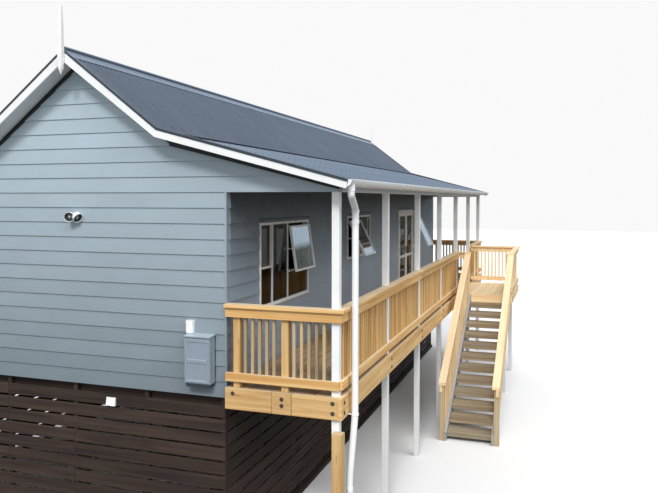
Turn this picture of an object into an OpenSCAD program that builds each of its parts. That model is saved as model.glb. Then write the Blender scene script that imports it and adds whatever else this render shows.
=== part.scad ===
// Raised weatherboard beach house with a verandah, a landing and a side stair.
// The ridge lies above x = 0, the front gable wall's face is at y = 0 and z = 0 is the lowest ground.

/* [House] */
// height of the floor and of the deck above the lowest ground
deck_z = 2310; // [2200:10:2500]
// spacing of the verandah posts
bay = 2300; // [2300:10:2600]
// number of verandah bays
bays = 6; // [6:1:8]
// distance from the ridge line to the face of the verandah wall
wall_x = 2100; // [2000:10:2300]
// distance from the ridge line to the face of the left wall
left_x = 3450; // [3000:10:3515]
// thickness of an outer wall
wall_t = 130; // [100:5:180]
// drop of the cladding's lower edge below the floor
clad_drop = 145; // [120:5:200]
// thickness of the house floor
floor_t = 120; // [80:5:140]
// clearance between faces that bear on each other
fit = 0.1; // [0.05:0.05:0.5]

/* [Roof] */
// height of the ridge above the deck
ridge_h = 4110; // [3900:10:4400]
// distance from the ridge line to the change of slope
knee_x = 1330; // [1200:10:1500]
// height of the change of slope above the deck
knee_h = 3090; // [3000:10:3200]
// distance from the ridge line to the eave
eave_x = 3700; // [3660:5:3760]
// height of the eave above the deck
eave_h = 2462; // [2455:1:2480]
// height of the main roof with its lining
roof_d = 95; // [80:5:120]
// drop of the low roof below the main roof where they meet
step_d = 40; // [36:1:50]
// lap of the main roof over the low roof
lap = 25; // [10:1:28]
// height of the roof sheet that runs out over the gutter
sheet_d = 20; // [15:1:25]
// overhang of the roof past the gable wall
gable_out = 300; // [200:10:400]
// thickness of a barge board
barge_t = 25; // [18:1:35]
// thickness of a folded metal trim
trim_t = 6; // [3:1:8]
// width of the trim that covers the roof's edge at the gables
flash_w = 90; // [60:5:120]
// upright depth of a barge board below the roof line at the ridge
barge_ridge = 154; // [130:1:170]
// upright depth of a barge board below the roof line at the change of slope
barge_knee = 128; // [110:1:140]
// upright depth of a barge board below the roof line at the eave
barge_eave = 101; // [90:1:115]
// distance of a barge board's upper edge below the roof line
barge_top = 26; // [20:1:30]
// width of each wing of the ridge cap
cap_wing = 150; // [120:5:200]
// radius of the roll along the ridge
roll_r = 20; // [15:1:30]
// height of a finial above the ridge
finial_up = 525; // [450:5:600]
// drop of a finial's point below the ridge
finial_down = 330; // [280:10:380]
// half the width of a finial's body
finial_r = 31; // [26:1:40]
// thickness of the soffit and verandah linings
lining_t = 10; // [6:1:15]

/* [Verandah] */
// side of a square post and of the verandah beam
post = 90; // [75:5:120]
// depth of the verandah beam on the posts
beam_h = 123; // [100:1:150]
// distance from the ridge line to the centre of the posts
post_x = 3470; // [3460:5:3480]
// distance of the first post's centre behind the gable wall's face
post_y = 50; // [45:1:60]
// thickness of the deck boards
board_t = 25; // [20:1:35]
// thickness of the deck's edge beams
beam_t = 50; // [40:5:60]
// depth of the deck's edge beams
beam_d = 254; // [200:2:280]
// thickness of a deck joist
joist_t = 45; // [35:5:60]
// depth of a deck joist
joist_d = 140; // [90:5:170]
// number of joists in a bay
joists = 4; // [3:1:5]

/* [Balustrade] */
// height of the handrail above the deck
rail_h = 1000; // [900:10:1100]
// width of the handrail cap
cap_w = 140; // [110:5:150]
// thickness of the handrail cap
cap_t = 40; // [30:1:45]
// distance of a side cap's inner edge from the posts' outer face
cap_in = 60; // [50:5:65]
// distance of an end cap's inner edge from the rails' face
cap_end = 38; // [20:1:45]
// depth of the rail below the cap
rail_d = 115; // [80:5:130]
// thickness of the rails
rail_t = 45; // [35:5:50]
// height of the bottom rail's lower edge above the deck
low_h = 77; // [50:1:100]
// depth of the bottom rail
low_d = 103; // [70:1:120]
// side of a baluster
bal = 38; // [30:1:42]
// spacing of the balusters
bal_gap = 92; // [85:1:110]
// distance of the first rail post at each end from the wall
end_post_1 = 130; // [120:5:150]
// distance of the second rail post at each end from the wall
end_post_2 = 752; // [730:1:770]
// number of balusters beside each of these posts
end_bals = 5; // [3:1:5]
// distance of the first baluster from the centre of its rail post
bal_first = 113; // [100:1:120]

/* [Landing and stair] */
// number of the verandah bay that opens to the landing, counted from the front
landing_bay = 5; // [5:1:5]
// distance from the ridge line to the landing's outer edge
landing_x = 4800; // [4790:10:5000]
// depth of the landing's edge beams
landing_d = 190; // [150:5:220]
// distance of the landing's posts inside its outer edge
land_post_in = 155; // [120:5:200]
// number of joists under the landing
land_joists = 3; // [2:1:4]
// distance from the ridge line to the centre of the stair
stair_x = 4270; // [4255:5:4280]
// width of the stair over its stringers
stair_w = 920; // [880:10:940]
// number of risers
risers = 13; // [12:1:15]
// going of one tread
going = 300; // [290:1:310]
// depth of a tread from front to back
tread_w = 400; // [380:5:410]
// thickness of a tread
tread_t = 45; // [35:5:50]
// height of the board under each tread's front edge
riser_d = 60; // [50:5:80]
// thickness of a stringer
string_t = 50; // [40:5:60]
// depth of a stringer, measured upright
string_d = 330; // [320:10:360]
// height of the stringers above the nosings
string_up = 25; // [15:1:40]
// thickness of the board under a tread's front edge
riser_t = 22; // [18:1:30]
// distance of this board behind the nosing
riser_in = 8; // [0:1:15]
// distance of the newels in front of the lowest nosing
newel_out = 50; // [30:5:80]
// height of the stair's handrail above the nosings
stair_rail_h = 980; // [900:10:1050]
// depth of the rail under the stair's handrail, measured upright
stair_rail_d = 130; // [100:5:150]
// overhang of the stair's handrail over the newels' inner face
stair_cap_in = 35; // [30:1:40]

/* [Openings] */
// height of the window and door heads above the floor
open_h = 1930; // [1900:10:2100]
// distance from the gable wall's face to the first window
window_1_y = 970; // [900:10:1100]
// width of the first window
window_1_w = 1840; // [1740:10:1900]
// height of the first window's sill above the floor
sill_1 = 775; // [700:5:900]
// distance of the first window's left upright bar from its near side
light_a = 420; // [350:10:480]
// distance of the first window's right upright bar from its near side
light_b = 985; // [900:5:1050]
// height of the first window's right transom above its sill
transom_h = 404; // [300:2:440]
// height of the first window's left transom above its sill
transom_left = 530; // [460:10:600]
// distance from the gable wall's face to the second window
window_2_y = 4900; // [4600:10:5100]
// width of the second window
window_2_w = 1600; // [1500:10:1900]
// height of the second window's sill above the floor
sill_2 = 1120; // [1000:10:1200]
// width of the wall between the doorway and the third window
window_3_gap = 60; // [50:5:120]
// width of the third window
window_3_w = 860; // [760:10:900]
// height of the third window's sill above the floor
sill_3 = 955; // [900:5:1050]
// width of a window's outer frame section
frame_w = 35; // [30:1:50]
// height of a window's sill section
sill_w = 45; // [40:1:60]
// distance of a sill's nose in front of the frame's face
sill_out = 12; // [8:1:20]
// width of the door frame's section
jamb_w = 45; // [40:1:60]
// depth of an outer frame section
frame_d = 100; // [70:5:120]
// distance of a frame's face in front of the wall's face
frame_out = 6; // [4:1:15]
// distance of the bars' back behind the wall's face
bar_back = 60; // [50:5:75]
// width of a sash or mullion section
sash_w = 28; // [24:1:40]
// depth of a sash section
sash_d = 32; // [25:1:40]
// thickness of a glass pane
glass_t = 6; // [4:1:10]
// distance of a fixed pane's back behind the wall's face
glass_back = 20; // [12:1:30]
// distance of the first window's upper left pane behind the wall's face
deep_back = 47; // [40:1:50]
// distance of a closed sash's back in front of the wall's face
sash_out = 5; // [3:1:8]
// clearance round a sash
sash_gap = 5; // [4:0.5:6]
// opening angle of the first window's sash
sash_a_1 = 8.5; // [5:0.5:15]
// opening angle of the second window's sash
sash_a_2 = 26.5; // [20:0.5:28]
// opening angle of the third window's sash
sash_a_3 = 25; // [20:0.5:28]
// distance that the first sash slides down on its stays
sash_down_1 = 35; // [25:1:45]
// distance that the second sash slides down on its stays
sash_down_2 = 60; // [40:1:70]
// distance that the third sash slides down on its stays
sash_down_3 = 90; // [50:1:100]
// width of a stay's bar
stay_w = 16; // [12:1:20]
// distance of the door frame in front of the landing's bay
door_before = 100; // [80:5:120]
// width of the door frame
door_w = 1700; // [1660:10:1740]
// clearance round a door leaf
leaf_gap = 6; // [5:1:10]
// thickness of a door leaf
leaf_t = 40; // [35:1:45]
// radius of a hinge pin
pin_r = 5; // [4:0.5:6]
// radius of a hinge knuckle
knuckle_r = 10; // [9:0.5:12]
// height of a hinge knuckle
knuckle = 34; // [25:1:40]
// width of a door leaf's stiles and of its top rail
stile_w = 95; // [70:5:110]
// height of a door leaf's bottom rail
kick = 160; // [120:10:200]
// height of a door leaf's middle rail above its lower edge
mid_rail = 780; // [700:10:850]
// depth of a door leaf's middle rail
mid_rail_d = 60; // [50:5:100]
// height of the lowest hinge above the leaf's lower edge
hinge_low = 180; // [150:10:250]
// distance of the highest hinge below the leaf's upper edge
hinge_high = 280; // [250:10:350]
// width of a hinge's plates
hinge_plate = 30; // [25:1:40]
// thickness of a hinge's plates
hinge_t = 3; // [2:1:4]
// play of a hinge on its pin
pin_play = 0.3; // [0.2:0.1:0.5]
// height of the door handles above the leaf's lower edge
handle_z = 960; // [900:10:1050]
// length of a door handle's plate
plate_l = 180; // [150:10:220]
// width of a door handle's plate
plate_w = 40; // [30:1:50]
// thickness of a door handle's plate
plate_t = 6; // [4:1:8]
// length of a door handle's lever
lever_l = 129; // [110:1:140]
// radius of a door handle's neck
neck_r = 9; // [7:1:11]
// distance of a lever's outer face from the leaf's face
lever_out = 44; // [40:1:50]
// thickness of a lever
lever_t = 12; // [8:1:14]

/* [Fittings] */
// width of the gutter
gutter_w = 105; // [90:5:130]
// height of the gutter's outer wall
gutter_h = 88; // [80:1:120]
// wall thickness of the gutter and of the downpipe
gutter_t = 4; // [3:1:6]
// radius of the downpipe
pipe_r = 41; // [35:1:50]
// extra radius of the downpipe's bends
bend_out = 3; // [1:1:6]
// width of the gutter's outer lip
lip_w = 12; // [8:1:15]
// distance of the downpipe's centre behind the gable wall's face
pipe_y = 225; // [200:5:260]
// drop of the downpipe's upper offset below the gutter
offset_drop = 160; // [140:5:200]
// drop of the downpipe's lower bend below the deck
bend_drop = 1015; // [700:5:1200]
// distance of the gutter's outlet in front of the gable wall's face
outlet_y = 150; // [120:5:200]
// distance of the downpipe's foot outside the posts' outer face
pipe_foot = 60; // [55:1:80]
// distance from the ridge line to the meter box
meter_x = 1600; // [1500:10:1700]
// width of the meter box
meter_w = 355; // [280:5:370]
// height of the meter box's lower edge above the floor
meter_z = 35; // [20:5:100]
// height of the meter box
meter_h = 585; // [500:5:660]
// depth of the meter box
meter_d = 155; // [130:5:230]
// depth of the meter box's door
meter_door = 22; // [15:1:30]
// fall of the meter box's hood towards its front
hood_fall = 14; // [8:1:25]
// distance of the conduit box to the left of the meter box's left side
conduit_in = 25; // [0:5:60]
// width of the conduit box
conduit_w = 90; // [60:1:100]
// height of the conduit box
conduit_h = 153; // [120:1:180]
// depth of the conduit box
conduit_d = 50; // [40:1:70]
// height of the security light above the floor
lamp_z = 2030; // [1900:10:2200]
// distance from the ridge line to the security light, to the left
lamp_x = 48; // [30:1:100]
// radius of a lamp's mouth
lamp_r = 64; // [50:1:75]
// depth of a lamp's head
lamp_d = 80; // [60:5:100]
// distance from the ridge line to the vent
vent_x = 370; // [300:10:500]
// width of the vent
vent_w = 135; // [110:5:150]
// depth of the vent's hood
vent_d = 30; // [20:1:35]

/* [Under the floor] */
// height of one baseboard
base_h = 150; // [120:5:180]
// gap between baseboards
base_gap = 25; // [15:1:40]
// gap between the cladding and the highest baseboard
shadow_gap = 105; // [60:5:120]
// thickness of a baseboard
base_t = 22; // [18:1:30]
// distance of the baseboards behind the cladding's face
base_in = 40; // [20:5:60]
// side of a batten behind the baseboards
batten = 60; // [45:5:70]
// largest spacing of the battens
batten_gap = 1300; // [900:50:1500]
// height of the timber plate on the ground
plate_h = 60; // [40:5:100]
// distance of the ground plate in front of the cladding's face
plate_out = 10; // [5:1:30]
// side of the timber stump in front of the corner post
stump = 120; // [100:5:140]
// drop of the stump's top below the deck
stump_drop = 390; // [330:10:450]
// distance of the stump inside the posts' outer face
stump_in = 50; // [30:5:60]
// thickness of the rim joists round the floor
rim_t = 50; // [40:5:60]
// depth of the rim joists round the floor
rim_d = 180; // [160:10:200]
// radius of a pile under the floor
pile_r = 100; // [75:5:125]
// number of piles in a row
piles_n = 6; // [5:1:8]
// distance of the outer rows of piles from the walls' faces
pile_in = 600; // [500:10:700]
// distance of a row's end piles from the gable walls' faces
pile_end = 900; // [700:10:1100]
// depth of a bearer
bearer_d = 150; // [120:10:190]

/* [Hidden] */
$fn = 32;
house_l = bays * bay + 2 * post_y;
post_o = post_x + post / 2;
post_i = post_x - post / 2;
beam_o = post_o + beam_t;
front_o = post_y - post / 2 - beam_t;
back_o = house_l - front_o;
steep = (ridge_h - knee_h) / knee_x;
low_run = eave_x - knee_x;
low_fall = (knee_h - step_d - eave_h) / low_run;
under_drop = roof_d - step_d;
head_h = eave_h + (eave_x - post_o) * low_fall - under_drop - beam_h;
fascia_x = eave_x - 50;
overhang = gable_out - barge_t;
land_y1 = post_y + (landing_bay - 1) * bay;
land_y2 = land_y1 + bay;
land_f = land_y1 - post / 2;
land_b = land_y2 + post / 2;
rise = deck_z / risers;
stair_foot = land_f - (risers - 1) * going;
door_y1 = land_y1 - door_before;
door_y2 = door_y1 + door_w;
top_mid = rail_h - cap_t;
cap_out = post_o - cap_in + cap_w;
corner_y = front_o + beam_t - rail_t + cap_w - cap_end;
gutter_low = deck_z + eave_h + gutter_t - gutter_h;
gutter_top = gutter_low + gutter_h;
base_top = deck_z - clad_drop - shadow_gap;
base_n = floor((base_top - plate_h) / (base_h + base_gap));

// height of the low roof's top at distance x from the ridge line
function low_top(x) = deck_z + eave_h + (eave_x - x) * low_fall;
// height of the roof's underside at distance x from the ridge line
function under(x) = x < knee_x
    ? deck_z + ridge_h - x * steep - roof_d
    : low_top(x) - under_drop;

// height of what bears against the roof's underside at distance x from the ridge line
function seat(x) = under(x) - fit;

// even places about bal_gap apart between two posts whose faces are at a and b
function spread(a, b) = let (n = round((b - a) / bal_gap)) [for (i = [1:n - 1]) a + i * (b - a) / n];

// extrudes a front view outline (x, z) from y1 to y2
module run(y1, y2) {
    translate([0, y2, 0]) rotate([90, 0, 0]) linear_extrude(y2 - y1) children();
}

// box between two corners
module block(a, b) {
    translate(a) cube(b - a);
}

// the children and their mirror image across the ridge line
module both_sides() {
    children();
    mirror([1, 0, 0]) children();
}

// the children at the front gable and their mirror image at the rear gable
module both_ends() {
    children();
    translate([0, house_l, 0]) mirror([0, 1, 0]) children();
}

module gable_outline() {
    polygon([
        [-left_x, deck_z - clad_drop],
        [wall_x, deck_z - clad_drop],
        [wall_x, deck_z + head_h],
        [post_o, deck_z + head_h],
        [post_o, seat(post_o)],
        [knee_x, seat(knee_x)],
        [0, seat(0)],
        [-knee_x, seat(knee_x)],
        [-left_x, seat(left_x)]
    ]);
}

module front_wall() {
    color([0.62, 0.67, 0.71]) run(0, wall_t) gable_outline();
}

module rear_wall() {
    color([0.62, 0.67, 0.71]) run(house_l - wall_t, house_l) gable_outline();
}

// outline of a side wall whose outer face is at x = face
module side_outline(face) {
    inner = face - wall_t;
    polygon([
        [inner, deck_z - clad_drop],
        [face, deck_z - clad_drop],
        [face, seat(face)],
        [inner, seat(inner)]
    ]);
}

// windows as [first y, width, sill height]
window_1 = [window_1_y, window_1_w, sill_1];
window_2 = [window_2_y, window_2_w, sill_2];
window_3 = [door_y2 + window_3_gap, window_3_w, sill_3];
left_windows = [for (i = [0:2]) [(2 * i + 1) * house_l / 6 - window_2_w / 2, window_2_w, sill_2]];

// hole through a wall whose outer face is at x = face
module window_hole(w, face) {
    block([face - wall_t - 1, w[0], deck_z + w[2]], [face + 1, w[0] + w[1], deck_z + open_h]);
}

module left_wall() {
    color([0.62, 0.67, 0.71]) mirror([1, 0, 0]) difference() {
        run(wall_t, house_l - wall_t) side_outline(left_x);
        for (w = left_windows) window_hole(w, left_x);
    }
}

module verandah_wall_front() {
    color([0.5, 0.54, 0.58]) difference() {
        run(wall_t, door_y1) side_outline(wall_x);
        window_hole(window_1, wall_x);
        window_hole(window_2, wall_x);
    }
}

module verandah_wall_rear() {
    color([0.5, 0.54, 0.58]) difference() {
        run(door_y2, house_l - wall_t) side_outline(wall_x);
        window_hole(window_3, wall_x);
    }
}

module verandah_wall_door() {
    color([0.5, 0.54, 0.58]) difference() {
        run(door_y1, door_y2) side_outline(wall_x);
        block([0, door_y1 - 1, deck_z], [wall_x + 1, door_y2 + 1, deck_z + open_h + jamb_w]);
    }
}

module house_floor() {
    color([0.55, 0.42, 0.28])
        block([-left_x + wall_t, wall_t, deck_z - floor_t], [wall_x - wall_t, house_l - wall_t, deck_z]);
}

module piles() {
    rows = [-left_x + pile_in, (wall_x - left_x) / 2, wall_x - pile_in];
    pitch = (house_l - 2 * pile_end) / (piles_n - 1);
    top = deck_z - floor_t;
    low = top - rim_d;
    inset = wall_t + rim_t;
    color([0.4, 0.33, 0.26]) {
        both_ends() block([-left_x + wall_t, wall_t, low], [wall_x - wall_t, inset, top]);
        block([-left_x + wall_t, inset + fit, low], [-left_x + inset, house_l - inset - fit, top]);
        block([wall_x - inset, inset + fit, low], [wall_x - wall_t, house_l - inset - fit, top]);
        for (x = rows) {
            block([x - batten, inset + fit, top - bearer_d], [x + batten, house_l - inset - fit, top]);
            for (i = [0:piles_n - 1])
                translate([x, pile_end + i * pitch, 0]) cylinder(h = top - bearer_d - fit, r = pile_r);
        }
        translate([post_o - stump_in, post_y - post / 2 - stump, 0])
            cube([stump, stump, deck_z - stump_drop]);
    }
}

// one run of baseboards, battens and a ground plate along +x from x1 to x2, its face at y = base_in
module baseboards(x1, x2) {
    spans = ceil((x2 - x1) / batten_gap);
    for (i = [0:base_n - 1]) {
        z = base_top - i * (base_h + base_gap);
        block([x1, base_in, z - base_h], [x2, base_in + base_t, z]);
    }
    for (i = [0:spans]) {
        x = x1 + i * (x2 - x1 - batten) / spans;
        block([x, base_in + base_t, 0], [x + batten, base_in + base_t + batten, deck_z - clad_drop]);
    }
    block([x1, -plate_out, 0], [x2, base_in + base_t + batten, plate_h]);
}

module baseboards_ends() {
    color([0.22, 0.16, 0.13]) both_ends() baseboards(-left_x + base_in, wall_x - base_in);
}

// baseboards of one long side, moved between the runs at the gables
module side_baseboards() {
    inset = base_in + base_t + batten + 1;
    rotate([0, 0, 90]) baseboards(inset, house_l - inset);
}

module baseboards_sides() {
    color([0.22, 0.16, 0.13]) {
        translate([wall_x, 0, 0]) side_baseboards();
        translate([-left_x, 0, 0]) mirror([1, 0, 0]) side_baseboards();
    }
}

module main_outline() {
    ridge = deck_z + ridge_h;
    knee = deck_z + knee_h;
    tip = knee - lap * steep;
    polygon([
        [0, ridge],
        [knee_x + lap, tip],
        [knee_x + lap, tip - sheet_d],
        [knee_x, knee - sheet_d],
        [knee_x, knee - roof_d],
        [0, ridge - roof_d]
    ]);
}

module low_outline() {
    polygon([
        [knee_x, low_top(knee_x)],
        [eave_x, low_top(eave_x)],
        [eave_x, low_top(eave_x) - sheet_d],
        [fascia_x, low_top(fascia_x) - sheet_d],
        [fascia_x, under(fascia_x)],
        [knee_x, under(knee_x)]
    ]);
}

module roof_main() {
    color([0.33, 0.38, 0.43]) both_sides() run(-overhang, house_l + overhang) main_outline();
}

module roof_low() {
    color([0.33, 0.38, 0.43]) both_sides() run(-overhang, house_l + overhang) low_outline();
}

module ridge_cap() {
    top = deck_z + ridge_h + fit;
    fall = cap_wing * steep;
    color([0.38, 0.43, 0.48]) run(-gable_out, house_l + gable_out) union() {
        both_sides() polygon([
            [0, top + trim_t],
            [cap_wing, top + trim_t - fall],
            [cap_wing, top - fall],
            [0, top]
        ]);
        translate([0, top + roll_r]) circle(r = roll_r);
    }
}

// outline of a barge board that follows both slopes
module barge_outline() {
    ridge = deck_z + ridge_h;
    knee = deck_z + knee_h;
    eave = deck_z + eave_h;
    corner = barge_t;
    polygon([
        [0, ridge - barge_top],
        [knee_x, knee - barge_top],
        [eave_x, eave - barge_top],
        [eave_x - corner / 2, eave - barge_eave],
        [knee_x - corner, knee - barge_knee + corner * steep],
        [0, ridge - barge_ridge]
    ]);
}

module barge_boards() {
    color([0.92, 0.92, 0.9]) both_ends() both_sides() run(-gable_out, -overhang) barge_outline();
}

// outline of the metal trim on a barge board, from the roof line down over the board's upper edge
module flashing_outline() {
    top = deck_z + trim_t;
    polygon([
        [0, top + ridge_h],
        [knee_x, top + knee_h],
        [eave_x, top + eave_h],
        [eave_x, deck_z + eave_h - barge_top],
        [knee_x, deck_z + knee_h - barge_top],
        [0, deck_z + ridge_h - barge_top]
    ]);
}

// outline of the trim on the roof, from the ridge cap to the eave
module cover_outline() {
    x0 = cap_wing + fit;
    top = deck_z + trim_t;
    tip = deck_z + knee_h - lap * steep + fit;
    polygon([
        [x0, top + ridge_h - x0 * steep],
        [knee_x, top + knee_h],
        [eave_x, top + eave_h],
        [eave_x, low_top(eave_x) + fit],
        [knee_x + lap + fit, low_top(knee_x + lap) + fit],
        [knee_x + lap + fit, tip],
        [x0, deck_z + ridge_h - x0 * steep + fit]
    ]);
}

// outline of the trim on a barge board's upper edge, from the ridge cap to the eave
module edge_outline() {
    x0 = cap_wing + fit;
    top = deck_z + trim_t;
    low = deck_z - barge_top + fit;
    polygon([
        [x0, top + ridge_h - x0 * steep],
        [knee_x, top + knee_h],
        [eave_x, top + eave_h],
        [eave_x, low + eave_h],
        [knee_x, low + knee_h],
        [x0, low + ridge_h - x0 * steep]
    ]);
}

module barge_flashings() {
    color([0.25, 0.29, 0.33]) both_ends() both_sides() {
        run(-gable_out - trim_t, -gable_out) flashing_outline();
        run(-gable_out, -overhang) edge_outline();
        run(-overhang, -gable_out + flash_w) cover_outline();
    }
}

// lining under the overhang of both slopes
module soffit_outline() {
    polygon([
        [0, seat(0)],
        [knee_x, seat(knee_x)],
        [fascia_x, seat(fascia_x)],
        [fascia_x, seat(fascia_x) - lining_t],
        [knee_x, seat(knee_x) - lining_t],
        [0, seat(0) - lining_t]
    ]);
}

module linings() {
    color([0.6, 0.63, 0.66]) {
        both_ends() both_sides() run(-overhang, 0) soffit_outline();
        run(wall_t, house_l - wall_t) polygon([
            [wall_x, seat(wall_x)],
            [post_i, seat(post_i)],
            [post_i, seat(post_i) - lining_t],
            [wall_x, seat(wall_x) - lining_t]
        ]);
    }
}

module verandah_beam() {
    color([0.92, 0.92, 0.9]) run(wall_t, house_l - wall_t) polygon([
        [post_i, deck_z + head_h],
        [post_o, deck_z + head_h],
        [post_o, seat(post_o)],
        [post_i, seat(post_i)]
    ]);
}

// the row of verandah posts
module post_row() {
    for (i = [0:bays]) {
        y = post_y + i * bay;
        block([post_i, y - post / 2, 0], [post_o, y + post / 2, deck_z + head_h]);
    }
}

module posts() {
    x = landing_x - land_post_in - post;
    color([0.92, 0.92, 0.9]) {
        post_row();
        for (y = [land_f + beam_t, land_b - beam_t - post])
            block([x, y, 0], [x + post, y + post, deck_z - board_t]);
    }
}

// outline of the gutter's quarter round outside, or of its hollow at a distance t inside it
module gutter_outline(t) {
    c = fascia_x + gutter_w - gutter_h;
    union() {
        translate([fascia_x + t, gutter_low + t]) square([c - fascia_x - t, gutter_h - t]);
        intersection() {
            translate([c, gutter_top]) circle(r = gutter_h - t);
            translate([c - 1, gutter_low + t]) square([gutter_h + 2, gutter_h - t]);
        }
    }
}

// outline of the gutter's wall, its back below the roof sheet, with its rolled lip
module gutter_wall() {
    difference() {
        gutter_outline(0);
        gutter_outline(gutter_t);
        translate([fascia_x - 1, under(fascia_x) + gutter_t]) square([gutter_t + 2, gutter_h]);
    }
    translate([fascia_x + gutter_w - lip_w, gutter_top - lip_w / 2]) square([lip_w, lip_w / 2]);
}

module gutter() {
    notch = low_top(fascia_x) - sheet_d - gutter_h / 2;
    end = -overhang + gutter_t;
    color([0.93, 0.93, 0.91]) union() {
        run(-overhang, house_l + overhang) union() gutter_wall();
        both_ends() difference() {
            run(-overhang, end) gutter_outline(0);
            block([fascia_x - 1, -overhang - 1, notch], [eave_x + 2, end + 1, gutter_top + 1]);
        }
    }
}

module gutters() {
    both_sides() gutter();
}

// straight pipe between two points
module pipe(a, b) {
    d = b - a;
    long = norm(d);
    translate(a) rotate([0, acos(d[2] / long), atan2(d[1], d[0])]) cylinder(h = long, r = pipe_r);
}

module downpipe() {
    out_x = fascia_x + gutter_w / 2;
    side_x = cap_out + pipe_r + gutter_t;
    path = [
        [out_x, -outlet_y, gutter_top - gutter_t],
        [out_x, -outlet_y, gutter_low - gutter_h],
        [side_x, pipe_y, gutter_low - gutter_h - offset_drop],
        [side_x, pipe_y, deck_z - beam_d],
        [post_o + pipe_foot, pipe_y, deck_z - bend_drop],
        [post_o + pipe_foot, pipe_y, plate_h]
    ];
    color([0.93, 0.93, 0.91]) difference() {
        union() {
            for (i = [0:len(path) - 2]) pipe(path[i], path[i + 1]);
            for (i = [1:len(path) - 2]) translate(path[i]) sphere(r = pipe_r + bend_out);
        }
        run(-overhang, house_l) gutter_outline(-fit);
    }
}

// side view of a finial: a pointed pendant and a square body that tapers to a blunt top
module finial_outline() {
    ridge = deck_z + ridge_h;
    top = ridge + finial_up;
    tip = ridge - finial_down;
    r = finial_r;
    polygon([
        [0, tip],
        [0.73 * r, tip + 2.5 * r],
        [r, ridge - 2 * r],
        [0.84 * r, top - 6.8 * r],
        [0.55 * r, top],
        [-0.55 * r, top],
        [-0.84 * r, top - 6.8 * r],
        [-r, ridge - 2 * r],
        [-0.73 * r, tip + 2.5 * r]
    ]);
}

module finial() {
    r = finial_r;
    y = -gable_out - trim_t - r;
    color([0.93, 0.93, 0.91]) intersection() {
        run(y - r, y + r) finial_outline();
        translate([0, y, 0]) rotate([0, 0, 90]) run(-r, r) finial_outline();
    }
}

module finials() {
    both_ends() finial();
}

module deck_boards() {
    color([0.45, 0.36, 0.27]) difference() {
        block([wall_x, front_o + beam_t, deck_z - board_t], [post_o, back_o - beam_t, deck_z]);
        post_row();
    }
}

module deck_joists() {
    top = deck_z - board_t;
    n = bays * joists;
    color([0.55, 0.47, 0.36]) union() {
        block([wall_x, front_o + beam_t, top - joist_d], [wall_x + joist_t, back_o - beam_t, top]);
        for (i = [0:n - 1]) {
            y = post_y + (i + 0.5) * bay / joists;
            block([wall_x, y - joist_t / 2, top - joist_d], [post_o, y + joist_t / 2, top]);
        }
    }
}

module deck_beams() {
    z = [deck_z - beam_d, deck_z];
    color([0.83, 0.67, 0.42]) {
        block([post_o, front_o, z[0]], [beam_o, back_o, z[1]]);
        both_ends() block([wall_x, front_o, z[0]], [post_o, front_o + beam_t, z[1]]);
    }
}

// rails and balusters along +x from x1 to x2 with balusters at the given places
module rails(x1, x2, places) {
    block([x1, 0, low_h], [x2, rail_t, low_h + low_d]);
    block([x1, 0, top_mid - rail_d], [x2, rail_t, top_mid]);
    for (x = places) block([x - bal / 2, rail_t, low_h], [x + bal / 2, rail_t + bal, top_mid]);
}

module end_balustrade() {
    starts = [wall_x + end_post_1 + bal_first, wall_x + end_post_2 + bal_first];
    places = [for (a = starts) for (i = [0:end_bals - 1]) a + i * bal_gap];
    translate([0, front_o + beam_t - rail_t, deck_z]) {
        rails(wall_x, post_o, places);
        for (x = [wall_x + end_post_1, wall_x + end_post_2])
            block([x - post / 2, rail_t, 0], [x + post / 2, rail_t + post, top_mid]);
        difference() {
            block([wall_x, -cap_end, top_mid], [cap_out, cap_w - cap_end, rail_h]);
            block([post_i, rail_t, 0], [post_o, rail_t + post, rail_h + 1]);
        }
    }
}

module balustrade_ends() {
    color([0.84, 0.68, 0.42]) both_ends() end_balustrade();
}

// side balustrade from y1 to y2, its rails outside the posts and its cap from c1 to c2
module side_balustrade(y1, y2, c1, c2) {
    n = round((y2 - y1) / bay);
    places = [for (k = [0:n - 1]) for (y = spread(y1 + k * bay, y1 + (k + 1) * bay - post)) y];
    translate([post_o + rail_t, 0, deck_z]) rotate([0, 0, 90]) rails(y1, y2, places);
    difference() {
        block([post_o - cap_in, c1, deck_z + top_mid], [cap_out, c2, deck_z + rail_h]);
        post_row();
    }
}

module balustrade_near() {
    color([0.84, 0.68, 0.42]) side_balustrade(post_y + post / 2, land_f, corner_y, land_f);
}

module balustrade_far() {
    color([0.84, 0.68, 0.42])
        side_balustrade(land_b, post_y + bays * bay - post / 2, land_b, house_l - corner_y);
}

module landing_deck() {
    y1 = land_f;
    y2 = land_b;
    color([0.8, 0.66, 0.45]) {
        block([beam_o, y1 + beam_t, deck_z - board_t], [landing_x - beam_t, y2 - beam_t, deck_z]);
        block([beam_o, y1, deck_z - landing_d], [landing_x, y1 + beam_t, deck_z]);
        block([beam_o, y2 - beam_t, deck_z - landing_d], [landing_x, y2, deck_z]);
        block([landing_x - beam_t, y1 + beam_t, deck_z - landing_d], [landing_x, y2 - beam_t, deck_z]);
        for (i = [1:land_joists]) {
            y = y1 + i * (y2 - y1) / (land_joists + 1);
            block([beam_o, y - joist_t / 2, deck_z - landing_d],
                [landing_x - beam_t, y + joist_t / 2, deck_z - board_t]);
        }
    }
}

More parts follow.
